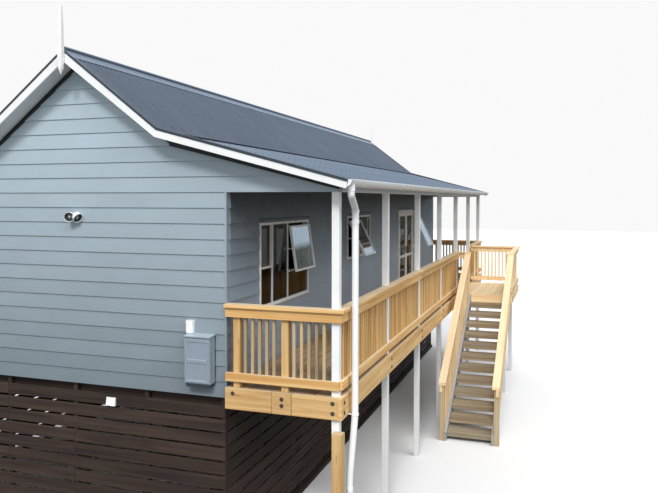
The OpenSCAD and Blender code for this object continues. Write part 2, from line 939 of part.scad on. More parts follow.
module landing_rails() {
    x2 = landing_x;
    inner = x2 - rail_t;
    near_x = stair_x - stair_w / 2;
    c = cap_w - cap_end;
    far = spread(beam_o, inner - post);
    side = spread(land_f + post, land_b - rail_t - post);
    color([0.84, 0.68, 0.42]) translate([0, 0, deck_z]) {
        translate([0, land_b, 0]) mirror([0, 1, 0]) rails(beam_o, x2, far);
        translate([x2, 0, 0]) rotate([0, 0, 90]) rails(land_f, land_b - rail_t, side);
        for (y = [land_f, land_b - rail_t - post]) block([inner - post, y, 0], [inner, y + post, top_mid]);
        block([near_x - post, land_f, 0], [near_x, land_f + post, top_mid]);
        block([beam_o, land_f, low_h], [near_x - post, land_f + rail_t, low_h + low_d]);
        block([beam_o, land_f, top_mid - rail_d], [near_x - post, land_f + rail_t, top_mid]);
        block([cap_out, land_b - c, top_mid], [x2 + cap_end, land_b + cap_end, rail_h]);
        block([x2 - c, land_f - cap_end, top_mid], [x2 + cap_end, land_b - c, rail_h]);
        block([cap_out, land_f - cap_end, top_mid], [near_x + stair_cap_in, land_f + c, rail_h]);
    }
}

// height of the line through the tread noses at distance y along the house
function nose_line(y) = deck_z - (land_f - y) * rise / going;

// side view outline (y, z) of the stringers: the stair falls towards -y
module string_outline() {
    foot = stair_foot - newel_out;
    up = string_up;
    down = string_d - up;
    polygon([
        [land_f, deck_z],
        [land_f, nose_line(land_f) - down],
        [land_f - (deck_z - down) * going / rise, 0],
        [foot, 0],
        [foot, nose_line(foot) + up],
        [land_f - up * going / rise, deck_z]
    ]);
}

// extrudes a side view outline (y, z) from x1 to x2
module run_x(x1, x2) {
    translate([x1, 0, 0]) rotate([90, 0, 90]) linear_extrude(x2 - x1) children();
}

// the children at the right side of the stair and their mirror image at its left side
module stair_sides() {
    translate([stair_x, 0, 0]) both_sides() children();
}

module stair_stringers() {
    color([0.55, 0.5, 0.43]) stair_sides()
        run_x(stair_w / 2 - string_t, stair_w / 2) string_outline();
}

module stair_treads() {
    x1 = stair_x - stair_w / 2 + string_t;
    x2 = stair_x + stair_w / 2 - string_t;
    color([0.6, 0.54, 0.46]) for (i = [1:risers - 1]) {
        y = land_f - i * going;
        z = deck_z - i * rise;
        union() {
            block([x1, y, z - tread_t], [x2, min(y + tread_w, land_f), z]);
            block([x1, y + riser_in, z - tread_t - riser_d], [x2, y + riser_in + riser_t, z - tread_t]);
        }
    }
}

// side view band parallel to the noses, from height a to height b above them
module rail_band(y1, y2, a, b) {
    polygon([
        [y1, nose_line(y1) + a],
        [y2, nose_line(y2) + a],
        [y2, nose_line(y2) + b],
        [y1, nose_line(y1) + b]
    ]);
}

module stair_rail() {
    x = stair_w / 2;
    foot = stair_foot - newel_out;
    top = stair_rail_h - cap_t * 1.4;
    start = foot - cap_end;
    run_x(x - stair_cap_in, x - stair_cap_in + cap_w) rail_band(start, land_f - cap_end, top, stair_rail_h);
    run_x(x + bal, x + bal + rail_t) rail_band(start, land_f, top - stair_rail_d, top);
    run_x(x, x + post) polygon([
        [foot, 0],
        [foot + post, 0],
        [foot + post, nose_line(foot + post) + top],
        [foot, nose_line(foot) + top]
    ]);
    intersection() {
        for (y = spread(foot + post, land_f))
            block([x, y - bal / 2, 0], [x + bal, y + bal / 2, deck_z + stair_rail_h]);
        run_x(x - 1, x + post) rail_band(foot, land_f, string_up - string_d + bal, top);
    }
}

module stair_rails() {
    color([0.84, 0.68, 0.42]) stair_sides() stair_rail();
}

// bar of a window between two distances and two heights
module bar(y1, y2, z1, z2) {
    block([-bar_back, y1, z1], [0, y2, z2]);
}

// outer frame with its sill's nose and upright bars of a window in the plane x = 0, from y = 0 to w
module window_frame(w, h, bars) {
    difference() {
        block([frame_out - frame_d, 0, 0], [frame_out, w, h]);
        block([frame_out - frame_d - 1, frame_w, sill_w], [frame_out + 1, w - frame_w, h - frame_w]);
    }
    block([frame_out, 0, 0], [frame_out + sill_out, w, sill_w / 2]);
    for (b = bars) bar(b - sash_w / 2, b + sash_w / 2, sill_w, h - frame_w);
}

module window_frames() {
    h1 = open_h - sill_1;
    color([0.75, 0.77, 0.78]) {
        translate([wall_x, window_1[0], deck_z + sill_1]) {
            window_frame(window_1_w, h1, [light_a, light_b]);
            bar(frame_w, light_a - sash_w / 2, transom_left, transom_left + sash_w);
            bar(light_b + sash_w / 2, window_1_w - frame_w, transom_h, transom_h + sash_w);
        }
        translate([wall_x, window_2[0], deck_z + sill_2])
            window_frame(window_2_w, open_h - sill_2, [window_2_w / 2]);
        translate([wall_x, window_3[0], deck_z + sill_3])
            window_frame(window_3_w, open_h - sill_3, []);
        mirror([1, 0, 0]) for (w = left_windows) translate([left_x, w[0], deck_z + w[2]])
            window_frame(w[1], open_h - w[2], [w[1] / 2]);
    }
}

// fixed pane between two distances and two heights, its back at a distance behind the wall's face
module pane(y1, y2, z1, z2, back = glass_back) {
    block([-back, y1, z1], [glass_t - back, y2, z2]);
}

module window_glass() {
    h1 = open_h - sill_1 - frame_w;
    half = sash_w / 2;
    color([0.35, 0.42, 0.45, 0.4]) {
        translate([wall_x, window_1[0], deck_z + sill_1]) {
            pane(frame_w, light_a - half, sill_w, transom_left);
            pane(frame_w, light_a - half, transom_left + sash_w, h1, deep_back);
            pane(light_a + half, light_b - half, sill_w, h1);
            pane(light_b + half, window_1_w - frame_w, sill_w, transom_h);
        }
        translate([wall_x, window_2[0], deck_z + sill_2])
            pane(window_2_w / 2 + half, window_2_w - frame_w, sill_w, open_h - sill_2 - frame_w);
        mirror([1, 0, 0]) for (w = left_windows) translate([left_x, w[0], deck_z + w[2]]) {
            pane(frame_w, w[1] / 2 - half, sill_w, open_h - w[2] - frame_w);
            pane(w[1] / 2 + half, w[1] - frame_w, sill_w, open_h - w[2] - frame_w);
        }
    }
}

// open sashes as [first y, width, height, angle, distance slid down]
sashes = [
    [window_1[0] + light_b + sash_w / 2 + sash_gap,
        window_1_w - light_b - sash_w / 2 - frame_w - 2 * sash_gap,
        open_h - sill_1 - transom_h - sash_w - frame_w - 2 * sash_gap, sash_a_1, sash_down_1],
    [window_2[0] + frame_w + sash_gap, window_2_w / 2 - sash_w / 2 - frame_w - 2 * sash_gap,
        open_h - sill_2 - frame_w - sill_w - 2 * sash_gap, sash_a_2, sash_down_2],
    [window_3[0] + frame_w + sash_gap, window_3_w - 2 * frame_w - 2 * sash_gap,
        open_h - sill_3 - frame_w - sill_w - 2 * sash_gap, sash_a_3, sash_down_3]
];

// places the children, a sash that hangs below its inner top edge, at the place of an open sash
module tilted(s) {
    translate([wall_x + sash_out, s[0], deck_z + open_h - frame_w - sash_gap - s[4]])
        rotate([0, -s[3], 0]) children();
}

// level bars in the gaps beside an open sash, from the frame to the sash's middle
module stays(s) {
    x = sash_out + s[2] / 2 * sin(s[3]) + sash_d / 2 * cos(s[3]);
    z = deck_z + open_h - frame_w - sash_gap - s[4] - s[2] / 2 * cos(s[3]) + sash_d / 2 * sin(s[3]);
    for (y = [s[0] - sash_gap, s[0] + s[1] - 1])
        block([wall_x - bar_back / 2, y, z - stay_w / 2], [wall_x + x, y + sash_gap + 1, z + stay_w / 2]);
}

module open_sashes() {
    color([0.78, 0.8, 0.81]) for (s = sashes) union() {
        tilted(s) difference() {
            block([0, 0, -s[2]], [sash_d, s[1], 0]);
            block([-1, sash_w, -s[2] + sash_w], [sash_d + 1, s[1] - sash_w, -sash_w]);
        }
        stays(s);
    }
}

module sash_glass() {
    x = (sash_d - glass_t) / 2;
    color([0.35, 0.42, 0.45, 0.4]) for (s = sashes)
        tilted(s) block([x, sash_w, -s[2] + sash_w], [x + glass_t, s[1] - sash_w, -sash_w]);
}

module door_frame() {
    h = open_h + jamb_w;
    w = door_y2 - door_y1;
    color([0.75, 0.77, 0.78]) translate([wall_x, door_y1, deck_z]) {
        block([-frame_d, 0, 0], [0, jamb_w, h]);
        block([-frame_d, w - jamb_w, 0], [0, w, h]);
        block([-frame_d, jamb_w, h - jamb_w], [0, w - jamb_w, h]);
    }
    color([0.75, 0.77, 0.78]) {
        near_leaf() frame_hinges();
        far_leaf() frame_hinges();
    }
}

leaf_w = (door_y2 - door_y1) / 2 - jamb_w - 1.5 * leaf_gap;
leaf_h = open_h - 2 * leaf_gap;
hinge_x = knuckle_r;
hinge_y = leaf_gap / 2;

// one leaf of the door with a middle rail, its hinged edge at y = 0
module door_leaf() {
    difference() {
        block([-leaf_t, 0, 0], [0, leaf_w, leaf_h]);
        block([-leaf_t - 1, stile_w, kick], [1, leaf_w - stile_w, mid_rail]);
        block([-leaf_t - 1, stile_w, mid_rail + mid_rail_d], [1, leaf_w - stile_w, leaf_h - stile_w]);
    }
}

// heights of the hinges above the leaf's lower edge
function hinge_z() = [hinge_low, leaf_h / 2, leaf_h - hinge_high];

// a door leaf with the knuckles that turn on the frame's pins
module hung_leaf() {
    door_leaf();
    for (z = hinge_z()) difference() {
        union() {
            translate([hinge_x, -hinge_y, z + knuckle + 1]) cylinder(h = knuckle - 2, r = knuckle_r);
            block([0, -hinge_y, z + knuckle + 1], [hinge_t, hinge_plate, z + 2 * knuckle - 1]);
        }
        translate([hinge_x, -hinge_y, z]) cylinder(h = 3 * knuckle, r = pin_r + pin_play);
    }
}

// pins, outer knuckles and plates of one leaf's hinges on the frame, at the leaf's hinged edge
module frame_hinges() {
    for (z = hinge_z()) {
        translate([hinge_x, -hinge_y, z]) cylinder(h = 3 * knuckle, r = pin_r);
        for (k = [0, 2 * knuckle]) {
            translate([hinge_x, -hinge_y, z + k]) cylinder(h = knuckle, r = knuckle_r);
            block([0, -hinge_y - hinge_plate, z + k], [hinge_t, -hinge_y, z + k + knuckle]);
        }
    }
}

// the two panes of a door leaf
module leaf_glass() {
    x = -(leaf_t + glass_t) / 2;
    block([x, stile_w, kick], [x + glass_t, leaf_w - stile_w, mid_rail]);
    block([x, stile_w, mid_rail + mid_rail_d], [x + glass_t, leaf_w - stile_w, leaf_h - stile_w]);
}

// the children at the near leaf's hinged edge
module near_leaf() {
    translate([wall_x, door_y1 + jamb_w + leaf_gap, deck_z + leaf_gap]) children();
}

// the children at the far leaf's hinged edge
module far_leaf() {
    translate([wall_x, door_y2 - jamb_w - leaf_gap, deck_z + leaf_gap]) mirror([0, 1, 0]) children();
}

module door_leaf_near() {
    color([0.72, 0.74, 0.75]) near_leaf() hung_leaf();
}

module door_leaf_far() {
    color([0.72, 0.74, 0.75]) far_leaf() hung_leaf();
}

module door_glass_near() {
    color([0.35, 0.42, 0.45, 0.4]) near_leaf() leaf_glass();
}

module door_glass_far() {
    color([0.35, 0.42, 0.45, 0.4]) far_leaf() leaf_glass();
}

// plate, neck and lever on both faces of a leaf
module handle() {
    y = leaf_w - stile_w / 2;
    z = plate_l / 6;
    half = plate_w / 2;
    for (f = [0, 1]) translate([f * -leaf_t, y, handle_z]) mirror([f, 0, 0]) {
        block([0, -half, -plate_l / 2], [plate_t, half, plate_l / 2]);
        translate([plate_t, 0, z]) rotate([0, 90, 0]) cylinder(h = lever_out - lever_t, r = neck_r);
        block([lever_out - lever_t, neck_r - lever_l, z - neck_r], [lever_out, neck_r, z + neck_r]);
    }
}

module door_handles_near() {
    color([0.15, 0.15, 0.15]) near_leaf() handle();
}

module door_handles_far() {
    color([0.15, 0.15, 0.15]) far_leaf() handle();
}

// box with a hood that falls to the front and a door with two sunk panels
module meter_box() {
    rim = 14;
    front = meter_door - meter_d;
    top = meter_h - hood_fall;
    panel = (top - 7 * rim) / 2;
    color([0.66, 0.7, 0.74]) translate([meter_x, 0, deck_z + meter_z]) union() {
        block([rim / 2, front, 0], [meter_w - rim / 2, 0, top - rim / 2]);
        run_x(0, meter_w) polygon([
            [0, meter_h],
            [0, meter_h - rim],
            [-meter_d, top - rim],
            [-meter_d, top]
        ]);
        difference() {
            block([rim, front - meter_door + rim / 2, rim], [meter_w - rim, front, top - 2 * rim]);
            for (z = [2 * rim, 3 * rim + panel])
                block([3 * rim, -meter_d, z + rim], [meter_w - 3 * rim, front - rim / 2, z + panel - rim]);
        }
    }
}

// hollow lamp head with its lens, its mouth towards -y, tipped down and turned to the right
module lamp(tip, turn) {
    depth = lamp_d * 0.45;
    rotate([0, 0, turn]) rotate([90 + tip, 0, 0]) {
        difference() {
            cylinder(h = lamp_d, r1 = lamp_r * 0.7, r2 = lamp_r);
            translate([0, 0, depth]) cylinder(h = lamp_d, r1 = lamp_r * 0.66, r2 = lamp_r * 0.98);
        }
        translate([0, 0, depth - 1]) cylinder(h = lamp_d * 0.2, r1 = lamp_r * 0.5, r2 = lamp_r * 0.3);
    }
}

module wall_fittings() {
    half = lamp_r * 0.85;
    out = lamp_r * 0.76;
    color([0.93, 0.93, 0.92]) {
        translate([meter_x - conduit_in, 0, deck_z + meter_z + meter_h])
            block([0, -conduit_d, 0], [conduit_w, 0, conduit_h]);
        translate([-lamp_x, 0, deck_z + lamp_z]) union() {
            rotate([90, 0, 0]) cylinder(h = 30, r = lamp_r * 0.8);
            block([-half, -out - 8, -12], [half, -20, 12]);
            translate([-half, -out, 0]) lamp(12, 25);
            translate([half, -out, 0]) lamp(35, 60);
        }
        translate([vent_x, base_in, base_top - base_h]) run_x(0, vent_w) polygon([
            [0, 0],
            [-vent_d, 0],
            [-vent_d / 3, base_h * 0.7],
            [0, base_h * 0.7]
        ]);
    }
}

front_wall();
rear_wall();
left_wall();
verandah_wall_front();
verandah_wall_rear();
verandah_wall_door();
house_floor();
piles();
baseboards_ends();
baseboards_sides();
roof_main();
roof_low();
ridge_cap();
barge_boards();
barge_flashings();
linings();
verandah_beam();
posts();
gutters();
downpipe();
finials();
deck_boards();
deck_joists();
deck_beams();
balustrade_ends();
balustrade_near();
balustrade_far();
landing_deck();
landing_rails();
stair_stringers();
stair_treads();
stair_rails();
window_frames();
window_glass();
open_sashes();
sash_glass();
door_frame();
door_leaf_near();
door_glass_near();
door_handles_near();
door_leaf_far();
door_glass_far();
door_handles_far();
meter_box();
wall_fittings();
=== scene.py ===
import random
from math import ceil, cos, floor, pi, radians, sin, sqrt

import bmesh
import bpy
from mathutils import Matrix, Vector


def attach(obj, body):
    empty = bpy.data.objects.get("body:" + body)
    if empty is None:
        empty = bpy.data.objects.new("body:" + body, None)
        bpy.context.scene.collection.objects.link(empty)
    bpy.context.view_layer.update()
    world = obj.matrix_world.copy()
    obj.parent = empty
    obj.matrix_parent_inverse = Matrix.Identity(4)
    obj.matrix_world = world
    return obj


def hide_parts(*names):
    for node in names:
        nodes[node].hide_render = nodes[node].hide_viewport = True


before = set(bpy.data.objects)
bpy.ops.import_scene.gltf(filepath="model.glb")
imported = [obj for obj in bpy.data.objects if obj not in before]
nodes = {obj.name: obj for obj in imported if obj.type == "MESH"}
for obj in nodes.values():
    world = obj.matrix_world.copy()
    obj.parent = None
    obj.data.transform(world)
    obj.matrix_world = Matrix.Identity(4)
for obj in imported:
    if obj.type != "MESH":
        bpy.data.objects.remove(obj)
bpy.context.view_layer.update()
scene = bpy.context.scene
rng = random.Random(11)

# Sizes in metres, the same as in the model's source: x from the ridge line, y from the front gable's face.
D = 2.31    # the deck above the lowest ground
HL = 13.9    # the house between its gables' faces
WX, LX, WT = 2.1, 3.45, 0.13    # faces of the verandah wall and the left wall, a wall's thickness
LOW, HEAD = D - 0.145, D + 2.3299    # the cladding's lower edge, the verandah's head
LAP, LAP_D = 0.19, 0.015    # cover of a weatherboard, how far its foot stands out
OPEN_H, DOOR_H = 1.93, 1.975    # heads of the windows and of the doorway above the deck
DOOR_1, DOOR_2 = 9.15, 10.85
WINDOWS = [(0.97, 1.84, 0.775), (4.9, 1.6, 1.12), (DOOR_2 + 0.06, 0.86, 0.955)]    # y, width, sill
LEFT_WINDOWS = [((2 * i + 1) * HL / 6 - 0.8, 1.6, 1.12) for i in range(3)]
RIDGE, KNEE_X, KNEE, EAVE_X, EAVE = 4.11, 1.33, 3.09, 3.7, 2.462    # the roof's top above the deck
ROOF_D, LOW_ROOF_D, OVER = 0.095, 0.055, 0.275    # depths of the steep and the low roof, overhang at the gables
KNEE_STEP = 0.04    # from the steep roof's lower edge down to the low roof
STEEP = (RIDGE - KNEE) / KNEE_X
FALL = (KNEE - KNEE_STEP - EAVE) / (EAVE_X - KNEE_X)
FASCIA, GUTTER_R = 3.65, 0.088
GUTTER = D + EAVE + 0.004 - GUTTER_R    # the gutter's lowest line
BEAD = GUTTER + GUTTER_R
BAY, BAYS, POST_Y, POST = 2.3, 6, 0.05, 0.09
POST_O, BEAM_O = 3.515, 3.565    # outer faces of the posts and of the long edge beam
FRONT_O, BACK_O, FACE = -0.045, HL + 0.045, 0.005    # the end beams' outer faces; their inner face from a gable
BEAM_D, BOARD_T, JOIST, JOIST_D = 0.254, 0.025, 0.045, 0.165
TOP, RAIL = D + 0.96, D + 1.0    # underside and top of the balustrades' cap
LOW_RAIL, HIGH_RAIL = (D + 0.077, D + 0.18), (D + 0.845, TOP)
RAIL_T, BAL, BAL_STEP, BAL_LOW = 0.045, 0.038, 0.092, D + 0.06
CAP_OUT, CORNER_Y, CAP_W, CAP_OVER = 3.595, 0.062, 0.14, 0.038
LAND_F, LAND_B, LAND_X, LAND_D, LAND_T = 9.205, 11.595, 4.8, 0.19, 0.05    # the landing and its edge boards
STAIR_X, STAIR_W, STRING_T, TREAD_T, RISERS, GOING = 4.27, 0.92, 0.05, 0.045, 13, 0.3
RISE = D / RISERS
FOOT = LAND_F - (RISERS - 1) * GOING - 0.05    # the strings' foot
BASE_TOP = D - 0.25    # upper edge of the highest baseboard
GRAZE = 0.0001    # keeps a wall just clear of the roof


def low_top(x):
    """Top of the low roof."""
    return D + EAVE + (EAVE_X - x) * FALL


def under(x):
    """Underside of the roof."""
    return D + RIDGE - x * STEEP - ROOF_D if x < KNEE_X else low_top(x) - LOW_ROOF_D


def nose(y):
    """Height of the line through the treads' noses."""
    return D - (LAND_F - y) * RISE / GOING


def from_gable(end):
    """Maps a distance from the front gable, or the rear one for end 1, to y."""
    return (lambda t: HL - t) if end else (lambda t: t)


def circle(n):
    return [(cos(2 * pi * i / n), sin(2 * pi * i / n)) for i in range(n)]


def add_object(name, data):
    obj = bpy.data.objects.new(name, data)
    scene.collection.objects.link(obj)
    return obj


# ---- meshes
AX = {"x": Vector((1, 0, 0)), "y": Vector((0, 1, 0)), "z": Vector((0, 0, 1))}


class Shape:
    """Closed solids of one piece. Each part has its own grain direction, offset and tone."""

    def __init__(self):
        self.verts, self.faces, self.grain, self.tones = [], [], [], []
        self.new_part("x")

    def new_part(self, along, tone=None):
        d = AX[along] if isinstance(along, str) else Vector(along).normalized()
        u = d.cross(AX["x"] if abs(d.x) < 0.9 else AX["y"]).normalized()
        self.axes = (d, u, d.cross(u))
        self.off = [rng.uniform(0, 60) for _ in range(3)]
        self.tone = rng.random() if tone is None else tone

    def add(self, points):
        first = len(self.verts)
        for p in points:
            p = Vector(p)
            self.verts.append(p)
            self.grain.append([p.dot(a) + o for a, o in zip(self.axes, self.off)])
            self.tones.append(self.tone)
        return first

    def loft(self, *loops):
        """A closed body through loops of points."""
        n = len(loops[0])
        firsts = [self.add(loop) for loop in loops]
        for a, b in zip(firsts, firsts[1:]):
            for i in range(n):
                j = (i + 1) % n
                self.faces.append((a + i, a + j, b + j, b + i))
        self.faces.append(tuple(firsts[0] + i for i in reversed(range(n))))
        self.faces.append(tuple(firsts[-1] + i for i in range(n)))

    def box(self, lo, hi, along=None, tone=None):
        """A box with its grain along its longest side, or the one that is named."""
        size = [abs(b - a) for a, b in zip(lo, hi)]
        self.new_part(along or "xyz"[size.index(max(size))], tone)
        (x0, y0, z0), (x1, y1, z1) = lo, hi
        base = [(x0, y0, z0), (x1, y0, z0), (x1, y1, z0), (x0, y1, z0)]
        self.loft(base, [(x, y, z1) for x, y, _ in base])

    def prism(self, outline, axis, a, b, along=None, tone=None):
        self.new_part(along or axis, tone)
        i = "xyz".index(axis)
        self.loft(*[[(*p[:i], t, *p[i:]) for p in outline] for t in (a, b)])

    def rings(self, path, radii, segs=16):
        """A round body along a path, with a radius at each point."""
        path = [Vector(p) for p in path]
        self.new_part((path[-1] - path[0]).normalized())
        t = [(b - a).normalized() for a, b in zip(path, path[1:])]
        t = [t[0]] + [(a + b).normalized() for a, b in zip(t, t[1:])] + [t[-1]]
        n = t[0].cross(AX["z"] if abs(t[0].z) < 0.9 else AX["x"]).normalized()
        loops = []
        for p, d, r in zip(path, t, radii):
            n = (n - d * n.dot(d)).normalized()
            m = d.cross(n)
            loops.append([p + (n * c + m * s) * r for c, s in circle(segs)])
        self.loft(*loops)

    def turned(self, p, d, profile, segs=28):
        """A body turned round the line from p along d, by pairs of distance and radius in millimetres."""
        p, d = Vector(p), Vector(d).normalized()
        u = d.cross(AX["z"] if abs(d.z) < 0.9 else AX["x"]).normalized()
        w = d.cross(u)
        self.new_part(d)
        profile = [(t / 1000, r / 1000) for t, r in profile]
        self.loft(*[[p + d * t + (u * c + w * s) * r for c, s in circle(segs)] for t, r in profile])

    def make(self, name, material, slot, replaces=(), bevel=0, smooth=None):
        """The piece itself, which rides on the house."""
        mesh = bpy.data.meshes.new(name)
        mesh.from_pydata(self.verts, [], self.faces)
        grain = [c for row in self.grain for c in row]
        for key, kind, field, data in (("grain", "FLOAT_VECTOR", "vector", grain),
                                       ("tone", "FLOAT", "value", self.tones)):
            mesh.attributes.new(key, kind, "POINT").data.foreach_set(field, data)
        bm = bmesh.new()
        bm.from_mesh(mesh)
        bmesh.ops.recalc_face_normals(bm, faces=bm.faces)
        bm.to_mesh(mesh)
        bm.free()
        mesh.materials.append(material)
        obj = add_object(name, mesh)
        if smooth or bevel:
            mesh.shade_smooth()
            mesh.set_sharp_from_angle(angle=radians(smooth or 30))
        if bevel:
            soften(obj, bevel)
        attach(obj, "house")
        if replaces:
            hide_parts(*replaces)


def soften(obj, width, segments=1):
    mod = obj.modifiers.new("edges", "BEVEL")
    mod.width = width
    mod.segments = segments
    mod.limit_method = "ANGLE"
    mod.angle_limit = radians(35)
    mod.harden_normals = True
    return mod


def dress(names, material, bevel=0, segments=1):
    """CAD nodes that stay, with their material and softened edges."""
    for name in names.split():
        obj = nodes[name]
        if not obj.material_slots:
            obj.data.materials.append(material)
        for slot in obj.material_slots:
            slot.material = material
        if bevel:
            obj.modifiers.new("weld", "WELD").merge_threshold = 0.00005
            soften(obj, bevel, segments).harden_normals = False


# ---- materials
def colour(r, g, b):
    """Linear colour of an 8 bit display colour."""
    return tuple((c / 255 / 12.92) if c <= 10 else ((c / 255 + 0.055) / 1.055) ** 2.4 for c in (r, g, b)) + (1.0,)


def shade(c, k):
    return tuple(v * k for v in c[:3]) + (1.0,)


def node(tree, kind, inputs=None, **settings):
    """A shader node. Each of its inputs is linked to a socket or set to a value."""
    n = tree.nodes.new("ShaderNode" + kind)
    for key, value in settings.items():
        setattr(n, key, value)
    for key, value in (inputs or {}).items():
        if isinstance(value, bpy.types.NodeSocket):
            tree.links.new(value, n.inputs[key])
        else:
            n.inputs[key].default_value = value
    return n


def blend(tree, fac, a, b, kind="MIX"):
    return node(tree, "Mix", {0: fac, 6: a, 7: b}, data_type="RGBA", blend_type=kind).outputs[2]


class Finish:
    """A procedural material, made node by node."""

    def __init__(self, name, rough, metal=0, spec=0.5, space="grain"):
        self.material = bpy.data.materials.new(name)
        self.material.use_nodes = True
        self.tree = self.material.node_tree
        self.out = self.tree.nodes["Principled BSDF"]
        self.set(Roughness=rough, Metallic=metal, Specular_IOR_Level=spec)
        if space == "grain":
            self.vec = node(self.tree, "Attribute", attribute_name="grain").outputs["Vector"]
        else:
            self.vec = node(self.tree, "TexCoord").outputs["Object"]

    def set(self, **values):
        for key, value in values.items():
            self.out.inputs[key.replace("_", " ")].default_value = value

    def scaled(self, s):
        s = s if hasattr(s, "__len__") else (s, s, s)
        return node(self.tree, "Mapping", {"Scale": s, "Vector": self.vec}).outputs["Vector"]

    def noise(self, s, detail=4.0, rough=0.55, distort=0):
        inputs = {"Vector": self.scaled(s), "Scale": 1.0, "Detail": detail, "Roughness": rough,
                  "Distortion": distort}
        return node(self.tree, "TexNoise", inputs).outputs["Fac"]

    def cells(self, s):
        return node(self.tree, "TexVoronoi", {"Scale": 1.0, "Vector": self.scaled(s)}).outputs["Distance"]

    def range(self, fac, a, b, lo=0, hi=1, clamp=True):
        inputs = {"From Min": a, "From Max": b, "To Min": lo, "To Max": hi, "Value": fac}
        return node(self.tree, "MapRange", inputs, clamp=clamp).outputs["Result"]

    def math(self, op, a, b=0):
        return node(self.tree, "Math", {0: a, 1: b}, operation=op).outputs[0]

    def mix(self, fac, a, b):
        return blend(self.tree, fac, a, b)

    def times(self, base, k):
        """Base darkened or lightened by a socket's value."""
        grey = node(self.tree, "CombineColor", {i: k for i in range(3)}).outputs[0]
        return blend(self.tree, 1.0, base, grey, "MULTIPLY")

    def tone(self, base, lo, hi):
        """Base made darker or lighter part by part."""
        part = node(self.tree, "Attribute", attribute_name="tone").outputs["Fac"]
        return self.times(base, self.range(part, 0, 1, lo, hi, False))

    def place(self, axis):
        where = node(self.tree, "TexCoord").outputs["Object"]
        return node(self.tree, "SeparateXYZ", {0: where}).outputs[axis]

    def on_top(self, base, cover, start, amount):
        """Base with a second colour where the surface faces up."""
        normal = node(self.tree, "NewGeometry").outputs["Normal"]
        up = node(self.tree, "SeparateXYZ", {0: normal}).outputs["Z"]
        return self.mix(self.range(up, start, 0.9, 0, amount), base, cover)

    def done(self, base, bump, depth, rough):
        relief = node(self.tree, "Bump", {"Strength": 1.0, "Distance": depth, "Height": bump}).outputs["Normal"]
        for key, socket in (("Base Color", base), ("Roughness", rough), ("Normal", relief)):
            self.tree.links.new(socket, self.out.inputs[key])
        return self.material


def timber(name, light, dark, knot, tones=(0.86, 1.08), knots=0.6, grey=None, sheen_and_bleach=None):
    """Boards with growth rings, fine lines and knots, greyed in places, and paler on faces turned up: a painted
    sky sheen together with bleaching.
    """
    light, dark = colour(*light), colour(*dark)
    m = Finish(name, 0.72, spec=0.3)
    rings = m.noise((0.55, 13, 13), 3.0, 0.5, 0.9)
    lines = m.noise((1.4, 70, 70), 3.0, 0.6)
    base = m.mix(m.range(rings, 0.4, 0.62), light, dark)
    base = m.mix(m.range(lines, 0.45, 0.75, 0, 0.5), base, dark)
    base = m.mix(m.range(m.noise((1.1, 2.5, 2.5), 2.0), 0.35, 0.7, 0, 0.35), base, shade(light, 1.12))
    base = m.mix(m.range(m.cells((1.5, 9, 9)), 0.13, 0.03, 0, knots), base, colour(*knot))
    if grey:
        base = m.mix(m.range(m.noise((0.9, 4, 4)), 0.38, 0.62, 0, 0.75), base, colour(*grey))
    # painted sheen along with bleaching: paler where the surface faces up
    if sheen_and_bleach:
        base = m.on_top(base, colour(*sheen_and_bleach), 0.5, 0.6)
    base = m.tone(base, *tones)
    relief = m.math("ADD", m.math("MULTIPLY", lines, 0.6), rings)
    return m.done(base, relief, 0.0012, m.range(lines, 0.3, 0.7, 0.62, 0.82))


def paint(name, c, rough, stain=None, amount=0.2, bump=0.0002, wood=False, painted_light_by_height=None, painted_top_light=None):
    """Paint with broad and fine unevenness and stains. The height gradient gives two heights and the tone at each:
    painted light and shade by height. The upward colour is a painted highlight on faces turned up.
    """
    c = colour(*c)
    m = Finish(name, rough, spec=0.45, space="grain" if wood else "object")
    big = m.noise(0.9, 4.0, 0.6)
    relief = m.noise(38, 3.0, 0.6)
    base = m.mix(m.range(big, 0.35, 0.68), shade(c, 0.95), shade(c, 1.04))
    stain = colour(*stain) if stain else shade(c, 0.75)
    base = m.mix(m.range(m.noise(7, 5.0, 0.7), 0.55, 0.8, 0, amount), base, stain)
    if wood:
        base = m.tone(base, 0.97, 1.03)
        relief = m.math("ADD", m.math("MULTIPLY", relief, 0.4), m.noise((3, 160, 160), 3.0))
    # painted highlight: a paler colour on faces turned up
    if painted_top_light:
        base = m.on_top(base, colour(*painted_top_light), 0.3, 0.85)
    # painted light and shade: the colour is lightened or darkened by height
    if painted_light_by_height:
        base = m.times(base, m.range(m.place("Z"), *painted_light_by_height))
    return m.done(base, relief, bump, m.range(m.noise(5, 3.0), 0.3, 0.7, rough - 0.07, rough + 0.09))


def roof_finish(name, c):
    c = colour(*c)
    m = Finish(name, 0.42)
    base = m.mix(m.range(m.noise((0.5, 1.2, 1.0)), 0.35, 0.7), shade(c, 0.92), shade(c, 1.1))
    streak = m.noise((0.25, 26, 1.0), 4.0, 0.6)
    base = m.mix(m.range(streak, 0.5, 0.78, 0, 0.35), base, colour(100, 111, 124))
    spots = m.noise(9, 5.0, 0.7)
    base = m.mix(m.range(spots, 0.62, 0.8, 0, 0.3), base, colour(50, 56, 60))
    base = m.tone(base, 0.96, 1.05)
    return m.done(base, m.noise(40, 2.0), 0.0003, m.range(spots, 0.3, 0.8, 0.34, 0.58))


def glass_finish(name, clear, spec, index=1.45, metal=0):
    clear = colour(*clear)
    m = Finish(name, 0.02, metal, spec, "object")
    m.set(Transmission_Weight=1.0, IOR=index)
    base = m.mix(m.range(m.noise(3.0, 5.0, 0.65), 0.4, 0.75), clear, shade(clear, 0.85))
    return m.done(base, m.noise(1.6, 2.0), 0.0006, m.range(m.noise(18, 5.0, 0.7), 0.5, 0.85, 0.01, 0.1))


def metal_finish(name, c, rough, metal):
    c = colour(*c)
    m = Finish(name, rough, metal, space="object")
    base = m.mix(m.range(m.cells(60), 0.2, 0.7), shade(c, 0.85), c)
    return m.done(base, m.noise(90, 3.0), 0.0002, m.range(m.noise(30), 0.3, 0.7, rough - 0.08, rough + 0.1))


